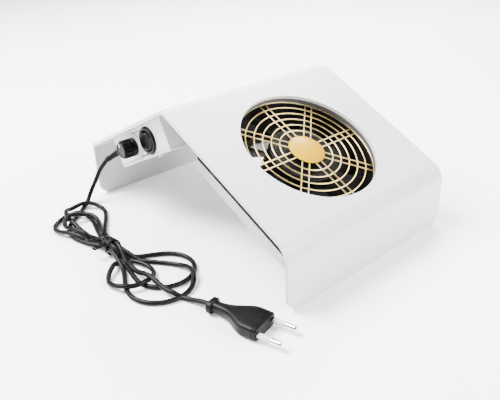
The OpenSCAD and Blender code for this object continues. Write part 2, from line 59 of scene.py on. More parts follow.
MM = 0.001
X = Vector((1, 0, 0))
Y = Vector((0, 1, 0))
JOINTS = {joint["name"]: joint for joint in frame["joints"]}


def placed(origin, x_axis, y_axis):
    """The matrix from millimetres on a piece's own axes to metres in the frame."""
    x = Vector(x_axis).normalized()
    y = Vector(y_axis).normalized()
    matrix = Matrix((x, y, x.cross(y))).transposed().to_4x4()
    matrix.translation = Vector(origin)
    return matrix @ Matrix.Scale(MM, 4)


def turned(degrees, axis):
    return Matrix.Rotation(math.radians(degrees), 4, axis)


# ---------- places and sizes ----------

# Outside of the cover, from the side: the front wall, its slope, the ridge, the rear slope and wall
COVER_W = 184
FRONT_Y = -1.5
FRONT_H = 50
FRONT_SLOPE = 26
RIDGE_Y = 135.5
RIDGE_Z = FRONT_H + (RIDGE_Y - FRONT_Y) * math.tan(math.radians(FRONT_SLOPE))
REAR_Y = 261.5
REAR_H = 53
REAR_SLOPE = math.degrees(math.atan2(RIDGE_Z - REAR_H, REAR_Y - RIDGE_Y))
FRONT_FOLD_R = 18
RIDGE_R = 8
REAR_FOLD_R = 6
FOOT_R = 12
SHEET_T = 3
OPENING_R = 57.5
OPENING_S = 75

# Levels below the outside of the front slope, along the fan's axis
FAN_TOP = -9
FAN_BASE = FAN_TOP - 38
FLANGE_BASE = FAN_BASE - 9.5
COLLAR_BASE = FLANGE_BASE - 6
GUARD_Z = FAN_TOP + 0.8
BADGE_Z = FAN_TOP + 1.6
FAN_SIDE = 120
SCREW_PITCH = 105
HUB_TOP = FAN_TOP - 3
HUB_R = 30
ROTOR_PHASE = 25
TIP_R = 55.5
BORE_R = 57.5

# The box under the rear slope, in that slope's axes, and the controls on its panel
BOX_X = (-87, 33)
BOX_S = (15, 105)
BOX_Z = (-31, -3)
BOX_WALL = 2
SWITCH_S = 44
KNOB_S = 69
CONTROL_Z = -17
RELIEF = Vector((-80, 105, -15))
LID_SCREWS = ((-49, 28), (22, 100))
BOX_SCREWS = ((-41, 15), (24, 96))

SPIN = JOINTS["fan_spin"]
TURN = JOINTS["knob_turn"]
TIP = JOINTS["rocker_tip"]
DOWN_SLOPE = Vector(TIP["axis"]).normalized()
REAR_OUT = X.cross(DOWN_SLOPE)
FAN = placed(SPIN["pos_m"], X, Vector(SPIN["axis"]).cross(X))
KNOB = placed(TURN["pos_m"], REAR_OUT, DOWN_SLOPE)
SWITCH = placed(TIP["pos_m"], REAR_OUT, DOWN_SLOPE)
REAR = placed(
    Vector(TIP["pos_m"]) - MM * (BOX_X[0] * X + SWITCH_S * DOWN_SLOPE + CONTROL_Z * REAR_OUT),
    X,
    DOWN_SLOPE,
)
TABLE = placed((0, 0, 0), X, Y)

# The mains cord: the routes of part.scad, and the hank between them
CORD_D = 4
RELIEF_CURVE = ((0, 0, 0), (0, 6, 0), (-1.5, 12, -0.8), (-5, 18, -2.2), (-10, 22, -3.7))
LEAD_ROUTE = (
    (-90, 240, 43),
    (-96, 246, 32),
    (-101, 249, 21),
    (-107, 250, 11),
    (-112, 248, 5),
    (-118, 244, 2.5),
)
TAIL_ROUTE = ((-140, 72, 3), (-136, 66, 2.5), (-132.5, 57, 2.5), (-130, 48, 4.5), (-128.1, 39.6, 5.5))
TIE_AT = Vector((-140, 154, 7.5))
PLUG_FACE = (-117, -5)
PLUG_HEADING = math.radians(-76)
PLUG = placed(
    (PLUG_FACE[0] * MM, PLUG_FACE[1] * MM, 0),
    (math.cos(PLUG_HEADING), math.sin(PLUG_HEADING), 0),
    (-math.sin(PLUG_HEADING), math.cos(PLUG_HEADING), 0),
)
PIN_PITCH = 18.6
PLUG_MID_Z = 5.5


# ---------- shapes ----------


def arc(centre, radius, start, end, steps):
    """Points along an arc, its angles in degrees."""
    turns = [math.radians(start + (end - start) * i / steps) for i in range(steps + 1)]
    return [
        (centre[0] + radius * math.cos(turn), centre[1] + radius * math.sin(turn))
        for turn in turns
    ]


def circle(radius, steps, centre=(0, 0)):
    return arc(centre, radius, 0, 360, steps)[:-1]


def rounded_box(x, y, radius, steps=6):
    """The outline of a rectangle with round corners, counter-clockwise."""
    corners = (
        (x[1] - radius, y[1] - radius, 0),
        (x[0] + radius, y[1] - radius, 90),
        (x[0] + radius, y[0] + radius, 180),
        (x[1] - radius, y[0] + radius, 270),
    )
    return [
        point
        for cx, cy, start in corners
        for point in arc((cx, cy), radius, start, start + 90, steps)
    ]


def filled(bm, outline, holes=()):
    """A flat face with holes, from 3-D points."""
    edges = []
    for loop in (outline, *holes):
        ring = [bm.verts.new(point) for point in loop]
        edges += [bm.edges.new((ring[i - 1], ring[i])) for i in range(len(ring))]
    return bmesh.ops.triangle_fill(bm, edges=edges, use_beauty=True)["geom"]


def object_from(name, bm, place):
    """A mesh object at the origin, from a bmesh in its own axes."""
    bm.transform(place)
    mesh = bpy.data.meshes.new(name)
    bm.to_mesh(mesh)
    bm.free()
    made = bpy.data.objects.new(name, mesh)
    bpy.context.scene.collection.objects.link(made)
    return made


def closed(bm):
    """Merges doubles and turns every face outwards."""
    bmesh.ops.remove_doubles(bm, verts=bm.verts, dist=1e-4)
    bmesh.ops.recalc_face_normals(bm, faces=bm.faces)


def plate_into(bm, outline, holes, low, high):
    """Adds a flat solid with holes between two levels."""
    start = len(bm.faces)
    filled(bm, [(x, y, low) for x, y in outline], [[(x, y, low) for x, y in h] for h in holes])
    bm.faces.ensure_lookup_table()
    base = bm.faces[start:]
    grown = bmesh.ops.extrude_face_region(bm, geom=base, use_keep_orig=True)["geom"]
    tops = [item for item in grown if isinstance(item, bmesh.types.BMVert)]
    bmesh.ops.translate(bm, verts=tops, vec=(0, 0, high - low))


def skin_into(bm, loops, steps):
    """Joins rings of vertices that follow each other, where a ring may be a single point."""
    for low, high in zip(loops, loops[1:]):
        for i in range(steps):
            corners = [low[i % len(low)], low[(i + 1) % len(low)]]
            corners += [high[(i + 1) % len(high)], high[i % len(high)]]
            unique = list(dict.fromkeys(corners))
            if len(unique) > 2:
                bm.faces.new(unique)


def lathe_into(bm, profile, steps=96, turn=Matrix.Identity(4)):
    """Adds a solid of revolution about the z axis, from (radius, z) points."""
    loop = []
    for radius, z in profile:
        if radius < 1e-6:
            loop.append([bm.verts.new(turn @ Vector((0, 0, z)))])
            continue
        loop.append([bm.verts.new(turn @ Vector((x, y, z))) for x, y in circle(radius, steps)])
    skin_into(bm, loop, steps)


def rounded_profile(points, radii, steps=4):
    """A lathe profile whose corners are rounded, each by its own radius."""
    out = []
    count = len(points)
    for i, (point, radius) in enumerate(zip(points, radii)):
        if radius == 0 or i in (0, count - 1):
            out.append(tuple(point))
            continue
        here = Vector(point)
        back = (Vector(points[i - 1]) - here).normalized()
        on = (Vector(points[i + 1]) - here).normalized()
        for k in range(steps + 1):
            t = k / steps
            a = here + back * radius * (1 - t)
            b = here + on * radius * t
            out.append(tuple(a.lerp(b, t)))
    return out


def loft_into(bm, rings):
    """Adds a closed skin through rings of equally many points, with flat ends."""
    loops = [[bm.verts.new(point) for point in ring] for ring in rings]
    for low, high in zip(loops, loops[1:]):
        for i in range(len(low)):
            bm.faces.new((low[i - 1], low[i], high[i], high[i - 1]))
    bm.faces.new(loops[0])
    bm.faces.new(loops[-1])


def smooth_path(points, steps):
    """A smooth curve through every point."""
    points = [Vector(point) for point in points]
    out = []
    last = len(points) - 1
    for i in range(last):
        a, b = points[max(i - 1, 0)], points[i]
        c, d = points[i + 1], points[min(i + 2, last)]
        for k in range(steps):
            t = k / steps
            square = (2 * a - 5 * b + 4 * c - d) * t * t
            cubic = (3 * b - a - 3 * c + d) * t * t * t
            out.append(0.5 * (2 * b + (c - a) * t + square + cubic))
    return [*out, points[last]]


def tube_into(bm, path, radius_at, sides=20):
    """Adds a round solid along a path; radius_at gives its radius at a share of the way."""
    last = len(path) - 1
    side = Vector((0, 0, 1))
    rings = []
    for i, point in enumerate(path):
        ahead = (path[min(i + 1, last)] - path[max(i - 1, 0)]).normalized()
        side = (side - ahead * side.dot(ahead)).normalized()
        across = ahead.cross(side)
        radius = radius_at(i / last)
        rings.append(
            [
                point + radius * (math.cos(turn) * side + math.sin(turn) * across)
                for turn in [2 * math.pi * k / sides for k in range(sides)]
            ]
        )
    loft_into(bm, rings)


def finished(made, material, body="main", edge=0.0, segments=3, thickness=0.0, replaces=(), slot=None):
    """Gives a piece its wall, round edges, smooth shading and finish, and ties it to its body."""
    made.data.materials.clear()
    made.data.materials.append(material)
    made.data.polygons.foreach_set("use_smooth", [True] * len(made.data.polygons))
    if thickness:
        wall = made.modifiers.new("Wall", "SOLIDIFY")
        wall.thickness = thickness * MM
        wall.offset = -1
        wall.use_even_offset = True
    if edge:
        bevel = made.modifiers.new("Edges", "BEVEL")
        bevel.width = edge * MM
        bevel.segments = segments
        bevel.limit_method = "ANGLE"
        bevel.angle_limit = math.radians(32)
        bevel.miter_outer = "MITER_ARC"
        normals = made.modifiers.new("Normals", "WEIGHTED_NORMAL")
        normals.keep_sharp = True
        normals.weight = 60
    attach(made, body)
    if replaces:
        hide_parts(*replaces)
    return made


def piece(bm, name, place, finish, body="main", **ties):
    """Closes a mesh and makes it a finished piece."""
    closed(bm)
    return finished(object_from(name, bm, place), FINISHES[finish], body, **ties)


# ---------- node trees ----------


class NodeSheet:
    """Adds and joins nodes in a tree."""

    def __init__(self, tree):
        self.tree = tree

    def add(self, kind, settings=None, **inputs):
        node = self.tree.nodes.new(kind)
        for key, value in (settings or {}).items():
            setattr(node, key, value)
        for key, value in inputs.items():
            self.feed(node, key.replace("_", " "), value)
        return node

    def feed(self, node, key, value):
        socket = node.inputs[int(key)] if key.isdigit() else node.inputs[key]
        if isinstance(value, bpy.types.NodeSocket):
            self.tree.links.new(value, socket)
        else:
            socket.default_value = value


def geometry_tree(name, inputs):
    """A Geometry Nodes tree with named inputs; returns its sheet and its input node."""
    tree = bpy.data.node_groups.new(name, "GeometryNodeTree")
    tree.interface.new_socket("Geometry", in_out="INPUT", socket_type="NodeSocketGeometry")
    for label, value in inputs:
        kind = "NodeSocketInt" if isinstance(value, int) else "NodeSocketFloat"
        socket = tree.interface.new_socket(label, in_out="INPUT", socket_type=kind)
        socket.default_value = value
    tree.interface.new_socket("Geometry", in_out="OUTPUT", socket_type="NodeSocketGeometry")
    sheet = NodeSheet(tree)
    return sheet, sheet.add("NodeGroupInput")


def close_tree(sheet, geometry, material):
    """Ends a tree in real, smooth geometry with its material."""
    real = sheet.add("GeometryNodeRealizeInstances", Geometry=geometry)
    smooth = sheet.add("GeometryNodeSetShadeSmooth", Geometry=real.outputs[0])
    paint = sheet.add("GeometryNodeSetMaterial", Geometry=smooth.outputs[0], Material=material)
    out = sheet.add("NodeGroupOutput")
    sheet.feed(out, "Geometry", paint.outputs[0])
    return sheet.tree


def grown_from(name, tree, values, place, base=None):
    """A plain mesh object from a Geometry Nodes tree, with the inputs set by identifier."""
    host = base or object_from(name + "_seed", bmesh.new(), Matrix.Identity(4))
    maker = host.modifiers.new("Maker", "NODES")
    maker.node_group = tree
    for item in tree.interface.items_tree:
        if item.in_out == "INPUT" and item.name in values:
            maker[item.identifier] = values[item.name]
    graph = bpy.context.evaluated_depsgraph_get()
    mesh = bpy.data.meshes.new_from_object(host.evaluated_get(graph))
    mesh.name = name
    mesh.transform(place)
    host.modifiers.remove(maker)
    bpy.data.objects.remove(host)
    made = bpy.data.objects.new(name, mesh)
    bpy.context.scene.collection.objects.link(made)
    return made


# ---------- finishes ----------


def new_finish(name):
    """A material with its sheet of nodes, its shader and the object's own coordinates."""
    material = bpy.data.materials.new(name)
    material.use_nodes = True
    material.node_tree.nodes.clear()
    sheet = NodeSheet(material.node_tree)
    shader = sheet.add("ShaderNodeBsdfPrincipled")
    output = sheet.add("ShaderNodeOutputMaterial")
    sheet.feed(output, "Surface", shader.outputs[0])
    where = sheet.add("ShaderNodeTexCoord").outputs["Object"]
    return material, sheet, shader, where


def noise(sheet, where, scale, detail=4.0, stretch=(1, 1, 1)):
    mapping = sheet.add("ShaderNodeMapping", Vector=where, Scale=stretch)
    made = sheet.add("ShaderNodeTexNoise", Vector=mapping.outputs[0], Scale=scale, Detail=detail)
    return made.outputs[0]


def spread(sheet, value, low, high, start=0.3, end=0.7):
    """Maps a noise value onto a range."""
    ranged = sheet.add("ShaderNodeMapRange", Value=value)
    for key, number in (("From Min", start), ("From Max", end), ("To Min", low), ("To Max", high)):
        sheet.feed(ranged, key, number)
    return ranged.outputs[0]


def fixed(shader, **values):
    """Sets constants on a shader's sockets, each named with underscores for its spaces."""
    for key, value in values.items():
        shader.inputs[key.replace("_", " ")].default_value = value


def mixed(sheet, factor, first, second):
    mix = sheet.add("ShaderNodeMix", {"data_type": "RGBA"})
    sheet.feed(mix, "0", factor)
    mix.inputs[6].default_value = (*first, 1)
    mix.inputs[7].default_value = (*second, 1)
    return mix.outputs[2]


def bumped(sheet, height, distance, strength=0.5, over=None):
    bump = sheet.add("ShaderNodeBump", Height=height, Distance=distance, Strength=strength)
    if over is not None:
        sheet.feed(bump, "Normal", over)
    return bump.outputs[0]


def moulded(name, shade, tone, roughness, grain=900, depth=0.00006, waves=0.0, coat=0.0, specular=0.5):
    """Moulded plastic: cloudy colour, uneven gloss, fine grain and, for a sheet, slow waves."""
    material, sheet, shader, where = new_finish(name)
    cloud = noise(sheet, where, 22, 6)
    speck = noise(sheet, where, 420, 3)
    fine = noise(sheet, where, grain, 5)
    sheet.feed(shader, "Base Color", mixed(sheet, spread(sheet, cloud, 0, 1), shade, tone))
    sheet.feed(shader, "Roughness", spread(sheet, speck, roughness - 0.05, roughness + 0.07))
    normal = bumped(sheet, fine, depth, 0.4)
    if waves:
        slow = noise(sheet, where, 14, 2)
        normal = bumped(sheet, slow, waves, 0.25, over=normal)
    sheet.feed(shader, "Normal", normal)
    fixed(shader, Specular_IOR_Level=specular, Coat_Weight=coat, Coat_Roughness=0.12)
    return material


def metal(name, shade, tone, roughness, stretch=(1, 1, 1), scale=300, depth=0.00003):
    """Metal, drawn or brushed along the axis in which its noise is stretched."""
    material, sheet, shader, where = new_finish(name)
    lines = noise(sheet, where, scale, 5, stretch)
    cloud = noise(sheet, where, 40, 4)
    sheet.feed(shader, "Base Color", mixed(sheet, spread(sheet, cloud, 0, 1), shade, tone))
    sheet.feed(shader, "Roughness", spread(sheet, lines, roughness - 0.08, roughness + 0.12))
    sheet.feed(shader, "Normal", bumped(sheet, lines, depth, 0.4))
    fixed(shader, Metallic=1.0)
    return material


def rubbery(name, shade, tone, roughness, dust=0.01):
    """Soft black PVC: a faint skin of dust, shallow dimples and a low gloss."""
    material, sheet, shader, where = new_finish(name)
    cloud = noise(sheet, where, 60, 6)
    skin = noise(sheet, where, 1100, 4)
    dimple = noise(sheet, where, 260, 3)
    sheet.feed(shader, "Base Color", mixed(sheet, spread(sheet, cloud, 0, 1, 0.35, 0.75), shade, tone))
    sheet.feed(shader, "Roughness", spread(sheet, cloud, roughness - 0.06, roughness + 0.1))
    normal = bumped(sheet, skin, 0.00005, 0.35)
    sheet.feed(shader, "Normal", bumped(sheet, dimple, 0.00012, 0.2, over=normal))
    fixed(shader, Specular_IOR_Level=0.1, Sheen_Weight=dust, Sheen_Roughness=0.4)
    return material


def board_finish(name):
    """Solder mask with its tracks showing as a faint relief."""
    material, sheet, shader, where = new_finish(name)
    cells = sheet.add("ShaderNodeTexVoronoi", {"distance": "MANHATTAN"}, Vector=where, Scale=160.0)
    tracks = spread(sheet, cells.outputs[0], 0, 1, 0.45, 0.5)
    sheet.feed(shader, "Base Color", mixed(sheet, tracks, (0.006, 0.075, 0.022), (0.012, 0.14, 0.04)))
    sheet.feed(shader, "Normal", bumped(sheet, tracks, 0.00005, 0.5))
    fixed(shader, Roughness=0.3)
    return material


def wound(name, shade, tone):
    """Enamelled copper wire, wound in fine turns."""
    material, sheet, shader, where = new_finish(name)
    turns = sheet.add("ShaderNodeTexWave", {"bands_direction": "DIAGONAL"}, Vector=where, Scale=520.0)
    sheet.feed(shader, "Base Color", mixed(sheet, turns.outputs[1], shade, tone))
    sheet.feed(shader, "Normal", bumped(sheet, turns.outputs[1], 0.0002, 0.6))
    fixed(shader, Metallic=0.85, Roughness=0.28)
    return material


FINISHES = {}


def grey(shade):
    return (shade, shade, shade)


def make_finishes():
    """Every material of the object, by its plain name."""
    look = bpy.context.scene.dust_collector
    white = tuple(look.sheet_colour)
    white_tone = tuple(min(1.0, part * 1.05) for part in white)
    gold = tuple(look.badge_colour)
    FINISHES.update({
        "sheet": moulded("White sheet", white, white_tone, 0.34, 700, 0.00005, 0.0004, 0.08),
        "box": moulded("White box plastic", (0.54, 0.54, 0.535), (0.58, 0.58, 0.575), 0.42, 900),
        "flange": moulded("White flange", (0.5, 0.5, 0.495), (0.55, 0.55, 0.545), 0.45, 900),
        "guard": metal("Guard wire", (0.50, 0.36, 0.13), (0.64, 0.49, 0.21), 0.36, (1, 1, 1), 500),
        "badge": badge_finish(gold),
        "fan": moulded("Black fan plastic", grey(0.002), grey(0.004), 0.5, 1200, specular=0.1),
        "foam": moulded("Foam seal", (0.04, 0.04, 0.042), (0.07, 0.07, 0.072), 0.9, 1500, 0.0004),
        "control": moulded("Black controls", grey(0.002), grey(0.004), 0.34, 1300, 0.00003, specular=0.08),
        "cord": rubbery("Black cord", grey(0.002), grey(0.005), 0.36),
        "plug": rubbery("Black plug", grey(0.002), grey(0.005), 0.40),
        "tie": moulded("Twist tie", grey(0.002), grey(0.005), 0.5, 800, specular=0.1),
        "steel": metal("Bright steel", (0.55, 0.55, 0.56), (0.68, 0.68, 0.69), 0.3, (1, 1, 12), 260),
        "pin": metal("Plated pins", (0.62, 0.62, 0.63), (0.74, 0.74, 0.75), 0.2, (6, 6, 6), 200),
        "sleeve": moulded("Pin sleeves", grey(0.50), grey(0.60), 0.4, 900),
        "lamination": metal("Laminations", (0.32, 0.32, 0.34), (0.4, 0.4, 0.42), 0.4, (1, 1, 60), 60),
        "winding": wound("Copper winding", (0.45, 0.16, 0.06), (0.75, 0.32, 0.13)),
        "contact": metal("Tinned brass", (0.7, 0.55, 0.28), (0.8, 0.66, 0.4), 0.3),
        "sink": metal("Extruded sink", (0.5, 0.5, 0.51), (0.62, 0.62, 0.63), 0.42, (1, 30, 1), 120),
        "board": board_finish("Control board"),
        "ivory": moulded("Ivory nylon", (0.62, 0.58, 0.48), (0.7, 0.66, 0.56), 0.5),
        "capacitor": moulded("Film capacitor", (0.55, 0.40, 0.05), (0.64, 0.49, 0.09), 0.35),
        "device": moulded("Black resin", grey(0.01), grey(0.02), 0.6),
        "wire": rubbery("Red wire", (0.25, 0.012, 0.01), (0.36, 0.02, 0.016), 0.4, 0.0),
        "mark": moulded("White mark", grey(0.7), grey(0.75), 0.4),
    })


def badge_finish(gold):
    """Gold print with fine spun rings, and painted shade that makes it warmer and deeper towards one side."""
    material, sheet, shader, where = new_finish("Gold badge")
    # painted shade: the colour runs from gold to this darker gold across the badge, as if light fell from one
    # side
    shaded_gold = (gold[0] * 0.98, gold[1] * 0.80, gold[2] * 0.7)
    local = sheet.add("ShaderNodeMapping", {"vector_type": "TEXTURE"}, Vector=where)
    local.inputs["Location"].default_value = SPIN["pos_m"]
    local.inputs["Rotation"].default_value = (math.radians(FRONT_SLOPE), 0, 0)
    split = sheet.add("ShaderNodeSeparateXYZ", Vector=local.outputs[0])
    # the share of painted shade, taken across the badge's local x
    side = spread(sheet, split.outputs[0], 0, 1, -0.014, 0.012)
    sheet.feed(shader, "Base Color", mixed(sheet, side, gold, shaded_gold))
    rings = sheet.add("ShaderNodeTexWave", {"wave_type": "RINGS", "rings_direction": "Z"}, Scale=900.0)
    sheet.feed(rings, "Vector", local.outputs[0])
    sheet.feed(shader, "Normal", bumped(sheet, rings.outputs[1], 0.00002, 0.3))
    fine = noise(sheet, where, 700, 4)
    sheet.feed(shader, "Roughness", spread(sheet, fine, 0.28, 0.42))
    fixed(shader, Specular_IOR_Level=0.06)
    return material


# CAD nodes that keep their own shape, each with its finish
KEPT_NODES = {
    "rim_seal": "foam",
    "stator_core": "lamination",
    "stator_windings": "winding",
    "fan_bearings": "steel",
    "rotor_cage": "lamination",
    "rotor_shaft": "steel",
    "shaft_clip": "steel",
    "switch_terminals": "contact",
    "pot_body": "sink",
    "pot_nut": "steel",
    "pot_shaft": "steel",
    "control_board": "board",
    "board_spacers": "ivory",
    "capacitor": "capacitor",
    "choke_coil": "winding",
    "heat_sink": "sink",
    "power_triac": "device",
    "terminal_block": "ivory",
    "box_wires": "wire",
    "fan_lead": "cord",
    "lead_grommet": "tie",
}


# ---------- settings ----------


def colour_setting(name, description, default):
    return bpy.props.FloatVectorProperty(
        name=name, description=description, subtype="COLOR", default=default, min=0, max=1
    )


def length_setting(name, description, default, low, high):
    return bpy.props.FloatProperty(
        name=name, description=description, subtype="DISTANCE", default=default, min=low, max=high
    )


class DustCollectorLook(bpy.types.PropertyGroup):
    """Sizes and colours that a user would change."""

    sheet_colour: colour_setting("Sheet colour", "Colour of the bent cover", (0.54, 0.54, 0.535))
    badge_colour: colour_setting(
        "Badge colour", "Colour of the round badge on the guard", (0.44, 0.27, 0.001)
    )
    guard_rings: bpy.props.IntProperty(
        name="Guard rings", description="Number of wire rings in the guard", default=6, min=3, max=9
    )
    wire_radius: length_setting("Wire radius", "Radius of a guard wire", 0.0006, 0.0004, 0.0012)
    spoke_gap: length_setting("Spoke gap", "Distance between the two wires of a spoke", 0.006, 0.003, 0.008)
    blade_count: bpy.props.IntProperty(
        name="Blades", description="Number of rotor blades", default=7, min=5, max=9
    )
    knob_ribs: bpy.props.IntProperty(
        name="Knob ribs", description="Number of grip ribs round the knob", default=18, min=8, max=36
    )
    edge_radius: length_setting(
        "Sheet edge", "Radius of the cover sheet's polished edges", 0.0007, 0.0002, 0.0014
    )


# ---------- stage ----------


class DUST_OT_stage(bpy.types.Operator):
    """Sets the floor, the lights and the camera"""

    bl_idname = "dust.stage"
    bl_label = "Stage"

    def execute(self, context):
        self.floor()
        self.light("Key", (-0.6, 0.7, 1.2), 0.9, 125)
        self.light("Front", (0.5, -1.2, 0.8), 1.0, 75)
        self.light("Rim", (0.9, 0.75, 1.0), 0.8, 60)
        world = bpy.data.worlds.new("Studio")
        world.use_nodes = True
        world.node_tree.nodes["Background"].inputs[0].default_value = (1, 1, 1, 1)
        world.node_tree.nodes["Background"].inputs[1].default_value = 0.15
        context.scene.world = world
        self.camera(context)
        return {"FINISHED"}

    def floor(self):
        bm = bmesh.new()
        filled(bm, [(-4000, -4000, 0), (4000, -4000, 0), (4000, 4000, 0), (-4000, 4000, 0)])
        floor = object_from("floor", bm, TABLE)
        material, sheet, shader, where = new_finish("Studio floor")
        shade = noise(sheet, where, 3, 3)
        colour = mixed(sheet, spread(sheet, shade, 0, 1), grey(0.93), grey(0.95))
        sheet.feed(shader, "Base Color", colour)
        fixed(shader, Roughness=0.85, Emission_Color=(1, 1, 1, 1), Emission_Strength=0.35)
        floor.data.materials.append(material)

    def light(self, name, at, size, power):
        data = bpy.data.lights.new(name, "AREA")
        data.shape = "DISK"
        data.size = size
        data.energy = power
        lamp = bpy.data.objects.new(name, data)
        lamp.location = at
        lamp.rotation_euler = (Vector(at) - Vector((0, 0.12, 0.05))).to_track_quat("Z", "Y").to_euler()
        bpy.context.scene.collection.objects.link(lamp)

    def camera(self, context):
        turn, rise, roll = math.radians(-41.0), math.radians(27.6), math.radians(-1.9)
        back = Vector(
            (math.sin(turn) * math.cos(rise), -math.cos(turn) * math.cos(rise), math.sin(rise))
        )
        level = Vector((math.cos(turn), math.sin(turn), 0))
        rising = back.cross(level)
        right = math.cos(roll) * level + math.sin(roll) * rising
        up = math.cos(roll) * rising - math.sin(roll) * level
        data = bpy.data.cameras.new("Camera")
        data.sensor_width = 36
        data.lens = 42.85
        data.clip_start = 0.01
        camera = bpy.data.objects.new("Camera", data)
        camera.matrix_world = Matrix((right, up, back)).transposed().to_4x4()
        camera.location = (-0.327, -0.235, 0.264)
        context.scene.collection.objects.link(camera)
        context.scene.camera = camera


# ---------- cord ----------


# The hank's loops in the order they were wound, each by the centre and radius of its round end
LOOPS = (
    ((-124, 103), 24),
    ((-142, 219), 17),
    ((-136, 91), 26),
    ((-125, 228), 18),
    ((-148, 113), 18),
    ((-138, 211), 15),
)
# Where each strand lies in the tie, lowest first: across the table, and above the tie's middle
STRANDS = ((-2, -3.46), (2, -3.46), (-4, 0), (4, 0), (0, 0), (-2, 3.46), (2, 3.46))
TIE_REACH = 9
NECK_REACH = 14
JOINING = ((-133, 231), (-143, 223), (-150, 213), (-153, 200), (-150, 186), (-146, 175))
LEAVING = ((-142, 128), (-143, 114), (-142, 98), (-141, 84))
PILE_H = 14
HUMP_REACH = 20
FALL_SLOPE = 0.22
PLAN_PASSES = 8
HEIGHT_PASSES = 4


def teardrop(neck, centre, radius, steps=12):
    """One loop of the hank: straight out from its neck, round its end and straight back."""
    neck, centre = Vector(neck), Vector(centre)
    away = centre - neck
    bearing = math.atan2(away.y, away.x)
    swing = math.pi / 2 + math.asin(radius / away.length)
    turns = [bearing + swing * (2 * i / steps - 1) for i in range(steps + 1)]
    end = [centre + radius * Vector((math.cos(turn), math.sin(turn))) for turn in turns]
    out = [neck.lerp(end[0], share) for share in (0.4, 0.7)]
    home = [neck.lerp(end[-1], share) for share in (0.7, 0.4)]
    return out + end + home


def hank_route():
    """The cord's whole plan, with a height where something holds it and None where it just lies."""
    route = [*LEAD_ROUTE, *((x, y, None) for x, y in JOINING)]
    heading = -1
    for i, (dx, dz) in enumerate(STRANDS):
        for dy in (-TIE_REACH, 0, TIE_REACH):
            route.append((TIE_AT.x + dx, TIE_AT.y + heading * dy, TIE_AT.z + dz))
        if i < len(LOOPS):
            neck = (TIE_AT.x, TIE_AT.y + heading * NECK_REACH)
            route += [(point.x, point.y, None) for point in teardrop(neck, *LOOPS[i])]
        heading = -heading
    route += [(x, y, None) for x, y in LEAVING]
    route += [(x, y, None) for x, y, z in TAIL_ROUTE[:2]]
    return [*route, *TAIL_ROUTE[2:]]


def evened(route, spacing=2.0, steps=12):
    """The smoothed route at an even spacing, and whether each point is free to move."""
    curve = smooth_path([(x, y, CORD_D / 2 if z is None else z) for x, y, z in route], steps)
    loose = [z is None for x, y, z in route]
    points, free = [curve[0]], [False]
    for i, point in enumerate(curve):
        if (point - points[-1]).length >= spacing:
            points.append(point.copy())
            free.append(loose[i // steps] and loose[min(i // steps + 1, len(loose) - 1)])
    points[-1] = curve[-1].copy()
    return points, free


def lifted(points, free, travelled):
    """Raises each free point over what already lies there, and eases the hump back and on."""
    rest = CORD_D / 2
    for i, point in enumerate(points):
        if not free[i]:
            continue
        for j in range(i):
            if travelled[i] - travelled[j] < 3 * CORD_D:
                break
            gap = math.hypot(point.x - points[j].x, point.y - points[j].y)
            if gap < CORD_D and points[j].z < PILE_H:
                point.z = max(point.z, points[j].z + math.sqrt(CORD_D**2 - gap**2))
        for k in range(i, -1, -1):
            share = (travelled[i] - travelled[k]) / HUMP_REACH
            if share > 1:
                break
            if free[k]:
                ease = 0.5 * (1 + math.cos(math.pi * share))
                points[k].z = max(points[k].z, rest + (point.z - rest) * ease)
        if i + 1 < len(points) and free[i + 1]:
            fall = FALL_SLOPE * (travelled[i + 1] - travelled[i])
            points[i + 1].z = max(points[i + 1].z, point.z - fall)


def laid(route):
    """The cord's centre line as it lies on the table and on itself."""
    points, free = evened(route)
    inner = range(1, len(points) - 1)
    for _ in range(PLAN_PASSES):
        before = [point.copy() for point in points]
        for i in inner:
            if free[i]:
                middle = (before[i - 1] + before[i] + before[i + 1]) / 3
                points[i].x, points[i].y = middle.x, middle.y
    travelled = [0.0]
    for a, b in zip(points, points[1:]):
        travelled.append(travelled[-1] + (b - a).length)
    lifted(points, free, travelled)
    for _ in range(HEIGHT_PASSES):
        heights = [point.z for point in points]
        for i in inner:
            if free[i]:
                points[i].z = max(CORD_D / 2, sum(heights[i - 1 : i + 2]) / 3)
    return points


